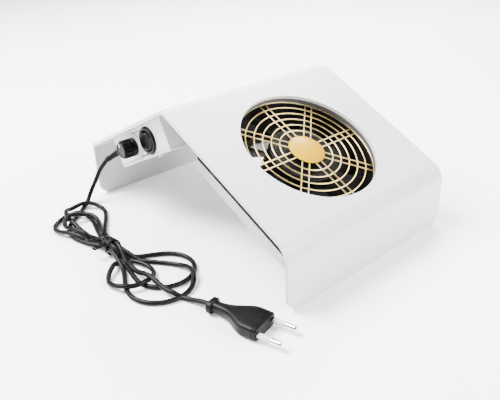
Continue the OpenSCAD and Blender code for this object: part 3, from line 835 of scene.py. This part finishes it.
class DUST_OT_cord(bpy.types.Operator):
    """Makes the mains cord, its tie and the strain relief"""

    bl_idname = "dust.cord"
    bl_label = "Cord"

    def execute(self, context):
        relief = self.strain_relief()
        tie = self.twist_tie()
        path = laid(hank_route())
        data = bpy.data.curves.new("mains_cord", "CURVE")
        data.dimensions = "3D"
        data.bevel_depth = CORD_D / 2 * MM
        data.bevel_resolution = 5
        data.use_fill_caps = True
        line = data.splines.new("POLY")
        line.points.add(len(path) - 1)
        for slot_point, point in zip(line.points, path):
            slot_point.co = (*(point * MM), 1)
        line.use_smooth = True
        cord = bpy.data.objects.new("mains_cord", data)
        context.scene.collection.objects.link(cord)
        data.materials.append(FINISHES["cord"])
        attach(cord, "main")
        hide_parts("cord_lead", "cord_hank", "cord_tail")
        return {"FINISHED"}

    def strain_relief(self):
        """A tapered sleeve with shallow rings, and its collar on the box."""
        bm = bmesh.new()
        path = smooth_path([Vector(point) + RELIEF for point in RELIEF_CURVE], 12)

        def radius(share):
            ringed = 0.35 if 0.16 < share < 0.86 and int(share * 24) % 2 else 0
            return 3.6 - share - ringed

        tube_into(bm, path, radius, 24)
        collar = Matrix.Translation(RELIEF) @ turned(-90, "X")
        lathe_into(bm, rounded_profile([(0, -2), (3.4, -2), (3.4, 0), (4.5, 0), (4.5, 1.5), (0, 1.5)],
                                       [0, 0.2, 0, 0, 0.5, 0]), 40, collar)
        return piece(bm, "cord_relief", REAR, "cord", edge=0.15, segments=2,
                     replaces=["strain_relief"], slot="cord_black")

    def twist_tie(self):
        """A flat plastic-covered wire round the waist, its ends twisted together."""
        bm = bmesh.new()
        turn = Matrix.Translation(TIE_AT) @ turned(-90, "X")
        inner, outer, half = 6.2, 7.1, 2.2
        ring = [(inner, -half), (outer, -half), (outer + 0.1, 0), (outer, half), (inner, half)]
        lathe_into(bm, [*ring, ring[0]], 64, turn)
        knot = TIE_AT + Vector((-5.2, 0, 5.0))
        for phase in (0, math.pi):
            path = []
            for i in range(25):
                share = i / 24
                twist = phase + share * 3 * math.pi
                spin = Vector((0, math.cos(twist), math.sin(twist))) * 0.9 * (1 + share * 0.6)
                path.append(knot + Vector((-10 * share, 4 * share, -2.5 * share)) + spin)
            tube_into(bm, path, lambda share: 0.75, 10)
        return piece(bm, "twist_tie", TABLE, "tie", edge=0.12, segments=2, replaces=["cord_tie"],
                     slot="tie_black")


class DUST_OT_plug(bpy.types.Operator):
    """Makes the flat two-pin plug"""

    bl_idname = "dust.plug"
    bl_label = "Plug"

    def execute(self, context):
        self.shell()
        self.pins()
        return {"FINISHED"}

    def shell(self):
        """The moulded body, from its tail flange to the pin face, as one skin."""
        # Along the plug, half width, half thickness and squareness of the section
        stations = (
            (-46.0, 4.4, 3.6, 2.6),
            (-46.0, 6.0, 4.5, 2.8),
            (-45.6, 6.5, 5.0, 2.8),
            (-42.6, 6.5, 5.0, 2.8),
            (-42.1, 6.0, 4.6, 2.8),
            (-41.8, 4.2, 4.0, 2.5),
            (-38.0, 4.1, 4.1, 2.5),
            (-34.0, 4.4, 4.4, 2.6),
            (-30.0, 5.2, 4.8, 2.8),
            (-26.0, 6.7, 5.1, 3.2),
            (-22.0, 8.6, 5.4, 3.8),
            (-18.0, 10.7, 5.5, 4.4),
            (-14.5, 12.1, 5.5, 5.0),
            (-11.5, 12.5, 5.5, 5.4),
            (-3.6, 12.5, 5.5, 5.4),
            (-3.2, 12.1, 5.2, 5.4),
            (-2.8, 12.1, 5.2, 5.4),
            (-2.4, 12.5, 5.5, 5.4),
            (-0.9, 12.3, 5.4, 5.4),
            (-0.2, 11.8, 5.0, 5.4),
            (0.0, 11.3, 4.5, 5.4),
        )
        bm = bmesh.new()
        rings = []
        for x, half_w, half_t, square in stations:
            ring = []
            for k in range(64):
                turn = 2 * math.pi * k / 64
                c, s = math.cos(turn), math.sin(turn)
                bulge = (abs(c) ** square + abs(s) ** square) ** (-1 / square)
                ring.append((x, half_w * c * bulge, PLUG_MID_Z + half_t * s * bulge))
            rings.append(ring)
        loft_into(bm, rings)
        return piece(bm, "plug_shell", PLUG, "plug", edge=0.25, segments=2, replaces=["plug_body"],
                     slot="plug_black")

    def pins(self):
        metal_bm, sleeve_bm = bmesh.new(), bmesh.new()
        pin = rounded_profile([(0, -6), (1.5, -6), (1.5, 10.1), (2, 10.1), (2, 18.2), (1.1, 19), (0, 19)],
                              [0, 0, 0, 0.15, 0.8, 0.3, 0])
        sleeve = rounded_profile([(1.5, 0), (2, 0), (2, 10), (1.5, 10), (1.5, 0)], [0, 0, 0.15, 0, 0])
        for side in (-1, 1):
            turn = Matrix.Translation((0, side * PIN_PITCH / 2, PLUG_MID_Z)) @ turned(90, "Y")
            lathe_into(metal_bm, pin, 40, turn)
            lathe_into(sleeve_bm, sleeve, 40, turn)
        piece(metal_bm, "pins", PLUG, "pin", replaces=["plug_pins"], slot="pin_metal")
        piece(sleeve_bm, "pin_collars", PLUG, "sleeve", replaces=["pin_sleeves"], slot="sleeve_grey")


# ---------- cover ----------


def cover_stretches():
    """The outside of the cover from the side: its flat stretches and its folds, as (y, z) points."""

    def fold(corner, before, after, radius):
        reach = radius * math.tan(math.radians((before - after) / 2))
        start = math.radians(before)
        centre = (
            corner[0] - reach * math.cos(start) + radius * math.sin(start),
            corner[1] - reach * math.sin(start) - radius * math.cos(start),
        )
        return arc(centre, radius, before + 90, after + 90, 14)

    front = fold((FRONT_Y, FRONT_H), 90, FRONT_SLOPE, FRONT_FOLD_R)
    ridge = fold((RIDGE_Y, RIDGE_Z), FRONT_SLOPE, -REAR_SLOPE, RIDGE_R)
    rear = fold((REAR_Y, REAR_H), -REAR_SLOPE, -90, REAR_FOLD_R)
    return front, ridge, rear


class DUST_OT_cover(bpy.types.Operator):
    """Makes the bent cover sheet with its round opening, and the bosses under it"""

    bl_idname = "dust.cover"
    bl_label = "Cover"

    def execute(self, context):
        look = context.scene.dust_collector
        front, ridge, rear = cover_stretches()
        half = COVER_W / 2
        bm = bmesh.new()
        for fold in (front, ridge, rear):
            for (y0, z0), (y1, z1) in zip(fold, fold[1:]):
                self.strip(bm, half, (y0, z0), (y1, z1))
        self.strip(bm, half, ridge[-1], rear[0])
        self.wall(bm, half, front[0])
        self.wall(bm, half, rear[-1])
        self.slope(bm, half, front[-1], ridge[0])
        closed(bm)
        bm.faces.ensure_lookup_table()
        if min(bm.faces, key=lambda face: face.calc_center_median().y).normal.y > 0:
            bmesh.ops.reverse_faces(bm, faces=bm.faces)
        cover = object_from("cover_sheet", bm, TABLE)
        finished(cover, FINISHES["sheet"], edge=look.edge_radius / MM, segments=3, thickness=SHEET_T,
                 replaces=["cover"], slot="white_shell")
        self.bosses()
        return {"FINISHED"}

    def strip(self, bm, half, low, high):
        corners = ((-half, *low), (half, *low), (half, *high), (-half, *high))
        bm.faces.new([bm.verts.new(corner) for corner in corners])

    def wall(self, bm, half, top):
        """A wall whose two lower corners are round."""
        y = top[0]
        right = arc((half - FOOT_R, FOOT_R), FOOT_R, 0, -90, 10)
        left = arc((FOOT_R - half, FOOT_R), FOOT_R, -90, -180, 10)
        filled(bm, [(-half, y, top[1]), (half, y, top[1]), *[(x, y, z) for x, z in right + left]])

    def slope(self, bm, half, low, high):
        """The front slope, with its opening."""
        tilt = math.radians(FRONT_SLOPE)
        hole = []
        for x, s in circle(OPENING_R, 128):
            along = OPENING_S + s
            hole.append((x, FRONT_Y + along * math.cos(tilt), FRONT_H + along * math.sin(tilt)))
        filled(bm, [(-half, *low), (half, *low), (half, *high), (-half, *high)], [hole])

    def bosses(self):
        """The screw bosses under both slopes."""
        for name, place, radius, points, low, bore in (
            ("fan_bosses", FAN, 4.5, [(a, b) for a in (-1, 1) for b in (-1, 1)], FAN_TOP, 2),
            ("box_bosses", REAR, 2.5, [(x, s) for x in BOX_SCREWS[0] for s in BOX_SCREWS[1]], -5, 1.5),
        ):
            bm = bmesh.new()
            for a, b in points:
                at = (a * SCREW_PITCH / 2, b * SCREW_PITCH / 2) if place is FAN else (a, b)
                plate_into(bm, circle(radius, 40, at), [circle(bore, 32, at)], low, -SHEET_T + 0.02)
            piece(bm, name, place, "sheet", edge=0.2, segments=2, slot="white_shell")


# ---------- guard ----------


def guard_tree(material):
    """Rings, pairs of spokes and eyes of bent wire, in millimetres."""
    sheet, inputs = geometry_tree(
        "Wire guard",
        [
            ("Rings", 6),
            ("First Radius", 22.7),
            ("Ring Pitch", 7.2),
            ("Wire Radius", 0.8),
            ("Spoke Gap", 6.0),
            ("Spoke Start", 9.0),
            ("Short Reach", 58.5),
            ("Long Reach", 69.0),
            ("Eye Radius", 5.9),
        ],
    )
    given = inputs.outputs

    def maths(operation, a, b, c=0.0):
        return sheet.add("ShaderNodeMath", {"operation": operation}, **{"0": a, "1": b, "2": c}).outputs[0]

    def vector(x=0.0, y=0.0, z=0.0):
        return sheet.add("ShaderNodeCombineXYZ", X=x, Y=y, Z=z).outputs[0]

    def repeated(count, instance, rotation=None, scale=None):
        """Copies of a curve at one point, turned or scaled by their index."""
        points = sheet.add("GeometryNodeMeshLine", {"mode": "OFFSET"}, Count=count)
        points.inputs["Offset"].default_value = (0, 0, 0)
        copies = sheet.add("GeometryNodeInstanceOnPoints", Points=points.outputs[0], Instance=instance)
        if rotation is not None:
            sheet.feed(copies, "Rotation", rotation)
        if scale is not None:
            sheet.feed(copies, "Scale", scale)
        return copies.outputs[0]

    index = sheet.add("GeometryNodeInputIndex").outputs[0]
    radius = maths("MULTIPLY_ADD", index, given["Ring Pitch"], given["First Radius"])
    hoop = sheet.add("GeometryNodeCurvePrimitiveCircle", Resolution=128, Radius=1.0).outputs[0]
    rings = repeated(given["Rings"], hoop, scale=vector(radius, radius, 1.0))
    half_gap = maths("MULTIPLY", given["Spoke Gap"], 0.5)

    def spokes(reach, first_turn):
        pair = sheet.add("GeometryNodeJoinGeometry")
        for side in (-1.0, 1.0):
            offset = maths("MULTIPLY", half_gap, side)
            wire = sheet.add("GeometryNodeCurvePrimitiveLine")
            sheet.feed(wire, "Start", vector(given["Spoke Start"], offset))
            sheet.feed(wire, "End", vector(reach, offset))
            sheet.feed(pair, "0", wire.outputs[0])
        turn = maths("MULTIPLY_ADD", index, math.pi / 2, first_turn)
        return repeated(4, pair.outputs[0], rotation=vector(0.0, 0.0, turn))

    eye = sheet.add("GeometryNodeCurvePrimitiveCircle", Resolution=40, Radius=given["Eye Radius"]).outputs[0]
    corner = sheet.add("GeometryNodeTransform", Geometry=eye)
    sheet.feed(corner, "Translation", vector(SCREW_PITCH / 2 * math.sqrt(2)))
    turn = maths("MULTIPLY_ADD", index, math.pi / 2, math.pi / 4)
    eyes = repeated(4, corner.outputs[0], rotation=vector(0.0, 0.0, turn))

    joined = sheet.add("GeometryNodeJoinGeometry")
    for group in (rings, spokes(given["Short Reach"], 0.0), spokes(given["Long Reach"], math.pi / 4), eyes):
        sheet.feed(joined, "0", group)
    real = sheet.add("GeometryNodeRealizeInstances", Geometry=joined.outputs[0])
    section = sheet.add("GeometryNodeCurvePrimitiveCircle", Resolution=12, Radius=given["Wire Radius"])
    wires = sheet.add("GeometryNodeCurveToMesh", Curve=real.outputs[0])
    sheet.feed(wires, "Profile Curve", section.outputs[0])
    sheet.feed(wires, "Fill Caps", True)
    return close_tree(sheet, wires.outputs[0], material)


class DUST_OT_guard(bpy.types.Operator):
    """Makes the wire guard and its badge"""

    bl_idname = "dust.guard"
    bl_label = "Guard"

    def execute(self, context):
        look = context.scene.dust_collector
        badge_r = 15.5
        pitch = (OPENING_R + 1 - badge_r) / look.guard_rings
        values = {
            "Rings": look.guard_rings,
            "First Radius": badge_r + pitch,
            "Ring Pitch": pitch,
            "Wire Radius": look.wire_radius / MM,
            "Spoke Gap": look.spoke_gap / MM,
        }
        level = FAN @ Matrix.Translation((0, 0, GUARD_Z))
        guard = grown_from("guard_wires", guard_tree(FINISHES["guard"]), values, level)
        finished(guard, FINISHES["guard"], replaces=["guard"], slot="guard_wire")
        self.badge(badge_r)
        return {"FINISHED"}

    def badge(self, radius):
        """A shallow dome with a turned-down edge and one fine groove."""
        rise = 3.0
        ball = (radius**2 + rise**2) / (2 * rise)
        profile = [(0, BADGE_Z - 0.9), (radius - 2.5, BADGE_Z - 0.9), (radius - 0.3, BADGE_Z)]
        for i in range(25):
            r = radius * (1 - i / 24)
            z = BADGE_Z + 0.25 + math.sqrt(ball**2 - r**2) - (ball - rise) - 0.25 * r / radius
            groove = 0.12 if abs(r - radius * 0.9) < 0.35 else 0
            profile.append((r, z - groove))
        bm = bmesh.new()
        lathe_into(bm, profile, 128)
        piece(bm, "badge", FAN, "badge", replaces=["guard_badge"], slot="badge_gold")


# ---------- fan ----------


class DUST_OT_fan(bpy.types.Operator):
    """Makes the fan's frame, rotor and exhaust flange"""

    bl_idname = "dust.fan"
    bl_label = "Fan"

    def execute(self, context):
        self.frame()
        self.rotor(context.scene.dust_collector.blade_count)
        self.flange()
        return {"FINISHED"}

    def screw_holes(self, radius):
        half = SCREW_PITCH / 2
        return [circle(radius, 32, (a * half, b * half)) for a in (-1, 1) for b in (-1, 1)]

    def frame(self):
        half = FAN_SIDE / 2
        square = rounded_box((-half, half), (-half, half), 5)
        bore = circle(BORE_R, 128)
        bm = bmesh.new()
        plate_into(bm, square, [bore, *self.screw_holes(2.2)], FAN_TOP - 4, FAN_TOP)
        plate_into(bm, square, [bore, *self.screw_holes(2.2)], FAN_BASE, FAN_BASE + 4)
        piece(bm, "fan_frame_plates", FAN, "fan", edge=0.6, segments=3, slot="fan_black")
        bm = bmesh.new()
        barrel = [(BORE_R, FAN_TOP - 3.9), (half - 0.1, FAN_TOP - 3.9), (half - 0.1, FAN_BASE + 3.9)]
        lathe_into(bm, [*barrel, (BORE_R, FAN_BASE + 3.9), (BORE_R, FAN_TOP - 3.9)], 128)
        for hole in self.screw_holes(5):
            plate_into(bm, hole, [], FAN_BASE + 3.9, FAN_TOP - 3.9)
        piece(bm, "fan_frame_body", FAN, "fan", edge=0.2, segments=2, replaces=["fan_frame"],
              slot="fan_black")
        bm = bmesh.new()
        for i in range(4):
            turn = turned(45 + 90 * i, "Z")
            loft_into(bm, [self.strut(turn, 3, 2.2, FAN_BASE), self.strut(turn, 2, 1.5, FAN_BASE + 3)])
        cup = [(0, FAN_BASE), (28.6, FAN_BASE), (29, FAN_BASE + 0.4), (29, FAN_BASE + 2), (6.5, FAN_BASE + 2)]
        lathe_into(bm, [*cup, (6.5, HUB_TOP - 7), (5, HUB_TOP - 7), (5, FAN_BASE + 2), (0, FAN_BASE + 2)], 64)
        piece(bm, "fan_spider", FAN, "fan", edge=0.3, segments=2, slot="fan_black")

    def strut(self, turn, inner, outer, z):
        """A level section of a strut from the motor cup to the barrel, by its half widths."""
        corners = ((6, -inner), (6, inner), (58, outer), (58, -outer))
        return [turn @ Vector((x, y, z)) for x, y in corners]

    def rotor(self, blades):
        bm = bmesh.new()
        base = FAN_BASE + 5
        shell = [(0, HUB_TOP - 0.8), (11, HUB_TOP - 0.8), (12, HUB_TOP), (HUB_R, HUB_TOP), (HUB_R, base)]
        shell += [(HUB_R - 2, base), (HUB_R - 2, HUB_TOP - 2), (4, HUB_TOP - 2)]
        shell += [(4, HUB_TOP - 6.4), (0, HUB_TOP - 6.4)]
        lathe_into(bm, rounded_profile(shell, [0, 0, 0.4, 2.2, 0.4, 0.4, 0, 0, 0, 0], 5), 96)
        for i in range(blades):
            self.blade(bm, 2 * math.pi * i / blades)
        piece(bm, "fan_rotor", FAN, "fan", "rotor", edge=0.25, segments=2, replaces=["rotor"],
              slot="fan_black")

    def blade(self, bm, turn):
        """A twisted, curved blade from the hub to the tip, sections wrapped round the axis."""
        middle = (HUB_TOP + FAN_BASE) / 2
        rings = []
        for k in range(9):
            share = k / 8
            radius = HUB_R - 1 + (TIP_R - HUB_R + 1) * share
            pitch = math.radians(42 - 16 * share)
            chord = 34 + 17 * share
            thick = 2.4 - 0.9 * share
            lean = math.radians(ROTOR_PHASE + 6 * share)
            upper, lower = [], []
            for n in range(11):
                t = n / 10
                along = (t - 0.5) * chord
                camber = 2.6 * (1 - (2 * t - 1) ** 2)
                body = thick * 0.5 * (1 - (2 * t - 1) ** 4) + 0.25
                upper.append((along, camber + body))
                lower.append((along, camber - body))
            ring = []
            for along, off in upper + lower[::-1]:
                s = along * math.cos(pitch) - off * math.sin(pitch)
                z = along * math.sin(pitch) + off * math.cos(pitch)
                angle = turn + lean + s / radius
                ring.append((radius * math.cos(angle), radius * math.sin(angle), middle + z))
            rings.append(ring)
        loft_into(bm, rings)

    def flange(self):
        half = FAN_SIDE / 2
        square = rounded_box((-half, half), (-half, half), 4)
        bm = bmesh.new()
        plate_into(bm, square, [circle(50, 128), *self.screw_holes(2.2)], FLANGE_BASE, FAN_BASE)
        piece(bm, "flange_plate", FAN, "flange", edge=0.7, replaces=["exhaust_flange"],
              slot="white_plastic")
        bm = bmesh.new()
        rim = [(50, FLANGE_BASE + 0.2), (53, FLANGE_BASE + 0.2), (53, COLLAR_BASE + 2.2)]
        rim += [(53.6, COLLAR_BASE + 1.4), (53.6, COLLAR_BASE + 0.5), (53, COLLAR_BASE), (50, COLLAR_BASE)]
        lathe_into(bm, [*rim, rim[0]], 128)
        piece(bm, "bag_collar_rim", FAN, "flange", edge=0.3, segments=2, slot="white_plastic")


# ---------- electrical box ----------


class DUST_OT_box(bpy.types.Operator):
    """Makes the electrical box and its lid"""

    bl_idname = "dust.box"
    bl_label = "Electrical box"

    def execute(self, context):
        self.shell()
        self.lid()
        return {"FINISHED"}

    def shell(self):
        """An open shell: top, four walls, and the panel's two holes."""
        x0, x1 = BOX_X
        s0, s1 = BOX_S
        low, high = BOX_Z[0] + BOX_WALL, BOX_Z[1]
        bm = bmesh.new()
        holes = [
            [(x0, SWITCH_S + b, CONTROL_Z + a) for a, b in circle(10.05, 64)],
            [(x0, KNOB_S + b, CONTROL_Z + a) for a, b in circle(3.55, 40)],
        ]
        filled(bm, [(x0, s0, low), (x0, s1, low), (x0, s1, high), (x0, s0, high)], holes)
        relief = [(RELIEF.x + a, s1, RELIEF.z + b) for a, b in circle(3.5, 40)]
        filled(bm, [(x0, s1, low), (x1, s1, low), (x1, s1, high), (x0, s1, high)], [relief])
        filled(bm, [(x0, s0, low), (x1, s0, low), (x1, s0, high), (x0, s0, high)])
        filled(bm, [(x1, s0, low), (x1, s1, low), (x1, s1, high), (x1, s0, high)])
        filled(bm, [(x0, s0, high), (x1, s0, high), (x1, s1, high), (x0, s1, high)])
        closed(bm)
        top = max(bm.faces, key=lambda face: face.calc_center_median().z)
        if top.normal.z < 0:
            bmesh.ops.reverse_faces(bm, faces=bm.faces)
        shell = object_from("box_body", bm, REAR)
        finished(shell, FINISHES["box"], edge=0.9, segments=4, thickness=BOX_WALL,
                 replaces=["box_shell"], slot="white_plastic")

    def lid(self):
        bm = bmesh.new()
        slots = [rounded_box((-27 + (i - 2.5) * 8, -24 + (i - 2.5) * 8), (48, 72), 1.4) for i in range(6)]
        holes = [circle(1.7, 24, (x, s)) for x in LID_SCREWS[0] for s in LID_SCREWS[1]]
        plate_into(bm, rounded_box(BOX_X, BOX_S, 0.9, 4), slots + holes, BOX_Z[0], BOX_Z[0] + BOX_WALL - 0.15)
        piece(bm, "box_cover", REAR, "box", edge=0.5, segments=3, replaces=["box_lid"],
              slot="white_plastic")


class DUST_OT_controls(bpy.types.Operator):
    """Makes the switch, its rocker, the knob and the dial plate"""

    bl_idname = "dust.controls"
    bl_label = "Controls"

    def execute(self, context):
        self.switch()
        self.rocker()
        self.knob(context.scene.dust_collector.knob_ribs)
        self.dial()
        return {"FINISHED"}

    def switch(self):
        profile = [(8.6, -8), (8.6, 1.2), (9.2, 2), (11, 2), (12, 0.9), (12, 0), (10, 0), (10, -15), (0, -15)]
        profile += [(0, -8), (8.6, -8)]
        radii = [0, 0.2, 0.3, 0.6, 0.4, 0, 0, 0.3, 0, 0, 0]
        bm = bmesh.new()
        lathe_into(bm, rounded_profile(profile, radii), 96)
        piece(bm, "switch_bezel", SWITCH, "control", replaces=["switch_body"], slot="control_black")

    def rocker(self):
        """A round rocker: two faces that meet in a shallow valley, tipped to its rest position."""
        radius, steps, rings = 7.6, 72, 16
        bm = bmesh.new()

        def top(x, r):
            valley = math.sqrt((2.4 * x / 9) ** 2 + 0.05)
            edge = 0.5 * max(0.0, (r - radius + 0.9) / 0.9) ** 2
            return 1.2 + valley - edge

        loops = [[bm.verts.new((0, 0, top(0, 0)))]]
        for i in range(1, rings + 1):
            r = radius * i / rings
            loops.append([bm.verts.new((x, y, top(x, r))) for x, y in circle(r, steps)])
        loops.append([bm.verts.new((x, y, -3.6)) for x, y in circle(radius, steps)])
        loops.append([bm.verts.new((0, 0, -3.6))])
        skin_into(bm, loops, steps)
        for side in (-1, 1):
            turn = Matrix.Translation((0, side * 7.9, 0)) @ turned(90, "X")
            lathe_into(bm, [(0, -0.6), (1, -0.6), (1, 0.6), (0, 0.6)], 24, turn)
        closed(bm)
        tipped = SWITCH @ turned(-9, "Y")
        made = object_from("rocker", bm, tipped)
        finished(made, FINISHES["control"], body="rocker", replaces=["switch_rocker"], slot="control_black")

    def knob(self, ribs):
        sheet, inputs = geometry_tree(
            "Ribbed knob",
            [
                ("Ribs", 18),
                ("Rib Circle", 7.5),
                ("Rib Radius", 0.55),
                ("Rib Length", 9.6),
                ("Rib Middle", 8.4),
            ],
        )
        given = inputs.outputs
        points = sheet.add("GeometryNodeMeshCircle", Vertices=given["Ribs"], Radius=given["Rib Circle"])
        rib = sheet.add("GeometryNodeMeshCylinder", Vertices=12, Radius=given["Rib Radius"])
        sheet.feed(rib, "Depth", given["Rib Length"])
        lift = sheet.add("ShaderNodeCombineXYZ", Z=given["Rib Middle"])
        raised = sheet.add("GeometryNodeTransform", Geometry=rib.outputs[0], Translation=lift.outputs[0])
        copies = sheet.add("GeometryNodeInstanceOnPoints", Points=points.outputs[0])
        sheet.feed(copies, "Instance", raised.outputs[0])
        joined = sheet.add("GeometryNodeJoinGeometry")
        sheet.feed(joined, "0", given["Geometry"])
        sheet.feed(joined, "0", copies.outputs[0])
        tree = close_tree(sheet, joined.outputs[0], FINISHES["control"])
        profile = [(0, 5.6), (3.2, 5.6), (6.2, 5.6), (6.2, 1.6), (8, 1.6), (8, 4), (7.5, 4.6), (7.3, 14.6)]
        profile += [(5.6, 14.6), (5.2, 14.2), (0, 14.2)]
        radii = [0, 0, 0, 0.2, 0.4, 0.5, 0.2, 1.0, 0.2, 0.2, 0]
        bm = bmesh.new()
        lathe_into(bm, rounded_profile(profile, radii), 72)
        closed(bm)
        core = object_from("knob_core", bm, Matrix.Identity(4))
        made = grown_from("speed_dial", tree, {"Ribs": ribs}, KNOB, base=core)
        finished(made, FINISHES["control"], "knob", edge=0.12, replaces=["speed_knob"], slot="control_black")
        bm = bmesh.new()
        plate_into(bm, rounded_box((2.4, 7.2), (-0.45, 0.45), 0.4, 4), [], 14.15, 14.68)
        piece(bm, "knob_line", KNOB, "mark", body="knob", edge=0.08, segments=2, slot="control_black")

    def dial(self):
        bm = bmesh.new()
        disc = [(3.5, 0), (11.5, 0), (11.5, 1), (3.5, 1), (3.5, 0)]
        lathe_into(bm, rounded_profile(disc, [0, 0, 0.35, 0.1, 0]), 96)
        for i in range(11):
            turn = math.radians(45 + 27 * i)
            c, s = math.cos(turn), math.sin(turn)
            low, high = 9.0, 10.6
            tick = [(low * c - 0.2 * s, low * s + 0.2 * c), (low * c + 0.2 * s, low * s - 0.2 * c)]
            tick += [(high * c + 0.2 * s, high * s - 0.2 * c), (high * c - 0.2 * s, high * s + 0.2 * c)]
            plate_into(bm, tick, [], 0.9, 1.08)
        piece(bm, "dial_disc", KNOB, "box", edge=0.05, segments=1, replaces=["dial_plate"],
              slot="white_plastic")


# ---------- screws ----------


def screw_mesh(shank_r, length, head_r, head_h):
    """A pan-head screw that points up, its domed head below, still without its cross recess."""
    bm = bmesh.new()
    profile = [(0, -head_h * 0.86), (head_r * 0.45, -head_h), (head_r * 0.8, -head_h * 0.8)]
    profile += [(head_r, -head_h * 0.3), (head_r, 0), (shank_r, 0), (shank_r, length - 0.6)]
    lathe_into(bm, [*profile, (shank_r * 0.6, length), (0, length)], 32)
    closed(bm)
    return bm


def screw_grid_tree(material):
    """Copies the given screw to the four corners of a grid and cuts a cross into each head."""
    sheet, inputs = geometry_tree(
        "Four screws",
        [
            ("Pitch X", 105.0),
            ("Pitch Y", 105.0),
            ("Slot Length", 4.0),
            ("Slot Width", 0.8),
            ("Slot Level", -2.5),
        ],
    )
    given = inputs.outputs
    cuts = []
    for first, second in (("Slot Length", "Slot Width"), ("Slot Width", "Slot Length")):
        size = sheet.add("ShaderNodeCombineXYZ", X=given[first], Y=given[second], Z=2.0)
        block = sheet.add("GeometryNodeMeshCube", Size=size.outputs[0])
        at = sheet.add("ShaderNodeCombineXYZ", Z=given["Slot Level"])
        moved = sheet.add("GeometryNodeTransform", Geometry=block.outputs[0], Translation=at.outputs[0])
        cuts.append(moved.outputs[0])
    cut = sheet.add("GeometryNodeMeshBoolean", {"operation": "DIFFERENCE"})
    sheet.tree.links.new(given["Geometry"], cut.inputs[0])
    for block in cuts:
        sheet.tree.links.new(block, cut.inputs[1])
    grid = sheet.add("GeometryNodeMeshGrid", Size_X=given["Pitch X"], Size_Y=given["Pitch Y"])
    grid.inputs["Vertices X"].default_value = 2
    grid.inputs["Vertices Y"].default_value = 2
    copies = sheet.add("GeometryNodeInstanceOnPoints", Points=grid.outputs[0], Instance=cut.outputs[0])
    return close_tree(sheet, copies.outputs[0], material)


class DUST_OT_screws(bpy.types.Operator):
    """Makes the fan screws, the lid screws and the box screws"""

    bl_idname = "dust.screws"
    bl_label = "Screws"

    def execute(self, context):
        tree = screw_grid_tree(FINISHES["steel"])
        fan_bolt = (2, FAN_TOP - FLANGE_BASE + 7, 4, 2.5)
        self.four(tree, "fan_bolts", "fan_screws", FAN, (0, 0, FLANGE_BASE), (105, 105), fan_bolt)
        lid_at = (*(sum(pair) / 2 for pair in LID_SCREWS), BOX_Z[0])
        lid_pitch = [high - low for low, high in LID_SCREWS]
        self.four(tree, "lid_bolts", "lid_screws", REAR, lid_at, lid_pitch, (1.5, 10, 3, 1.8))
        box_at = (*(sum(pair) / 2 for pair in BOX_SCREWS), BOX_Z[1] - BOX_WALL)
        box_pitch = [high - low for low, high in BOX_SCREWS]
        self.four(tree, "box_bolts", "box_screws", REAR, box_at, box_pitch, (1.5, 3.2, 4, 2))
        return {"FINISHED"}

    def four(self, tree, name, node, place, middle, pitch, size):
        shank_r, length, head_r, head_h = size
        values = {
            "Pitch X": float(pitch[0]),
            "Pitch Y": float(pitch[1]),
            "Slot Length": head_r * 1.1,
            "Slot Width": head_r * 0.24,
            "Slot Level": -head_h - 0.1,
        }
        core = object_from(name + "_core", screw_mesh(*size), Matrix.Identity(4))
        made = grown_from(name, tree, values, place @ Matrix.Translation(middle), base=core)
        finished(made, FINISHES["steel"], replaces=[node], slot="bright_steel")


class DUST_OT_kept(bpy.types.Operator):
    """Gives the CAD pieces that keep their shape their finishes"""

    bl_idname = "dust.kept"
    bl_label = "Kept pieces"

    def execute(self, context):
        for node, finish in KEPT_NODES.items():
            materials = frame["nodes"][node].data.materials
            materials.clear()
            materials.append(FINISHES[finish])
        return {"FINISHED"}


class DUST_PT_panel(bpy.types.Panel):
    """Lists the settings and the makers"""

    bl_idname = "DUST_PT_panel"
    bl_label = "Dust Collector"
    bl_space_type = "VIEW_3D"
    bl_region_type = "UI"
    bl_category = "Dust Collector"

    def draw(self, context):
        look = context.scene.dust_collector
        for name in DustCollectorLook.__annotations__:
            self.layout.prop(look, name)
        for maker in MAKERS:
            self.layout.operator(maker.bl_idname)


MAKERS = (
    DUST_OT_stage,
    DUST_OT_plug,
    DUST_OT_cord,
    DUST_OT_cover,
    DUST_OT_guard,
    DUST_OT_fan,
    DUST_OT_box,
    DUST_OT_controls,
    DUST_OT_screws,
    DUST_OT_kept,
)


def register():
    for item in (DustCollectorLook, *MAKERS, DUST_PT_panel):
        bpy.utils.register_class(item)
    bpy.types.Scene.dust_collector = bpy.props.PointerProperty(type=DustCollectorLook)


def unregister():
    del bpy.types.Scene.dust_collector
    for item in (DUST_PT_panel, *reversed(MAKERS), DustCollectorLook):
        bpy.utils.unregister_class(item)


def main():
    register()
    make_finishes()
    for maker in MAKERS:
        group, name = maker.bl_idname.split(".")
        getattr(getattr(bpy.ops, group), name)()


if __name__ == "__main__":
    main()
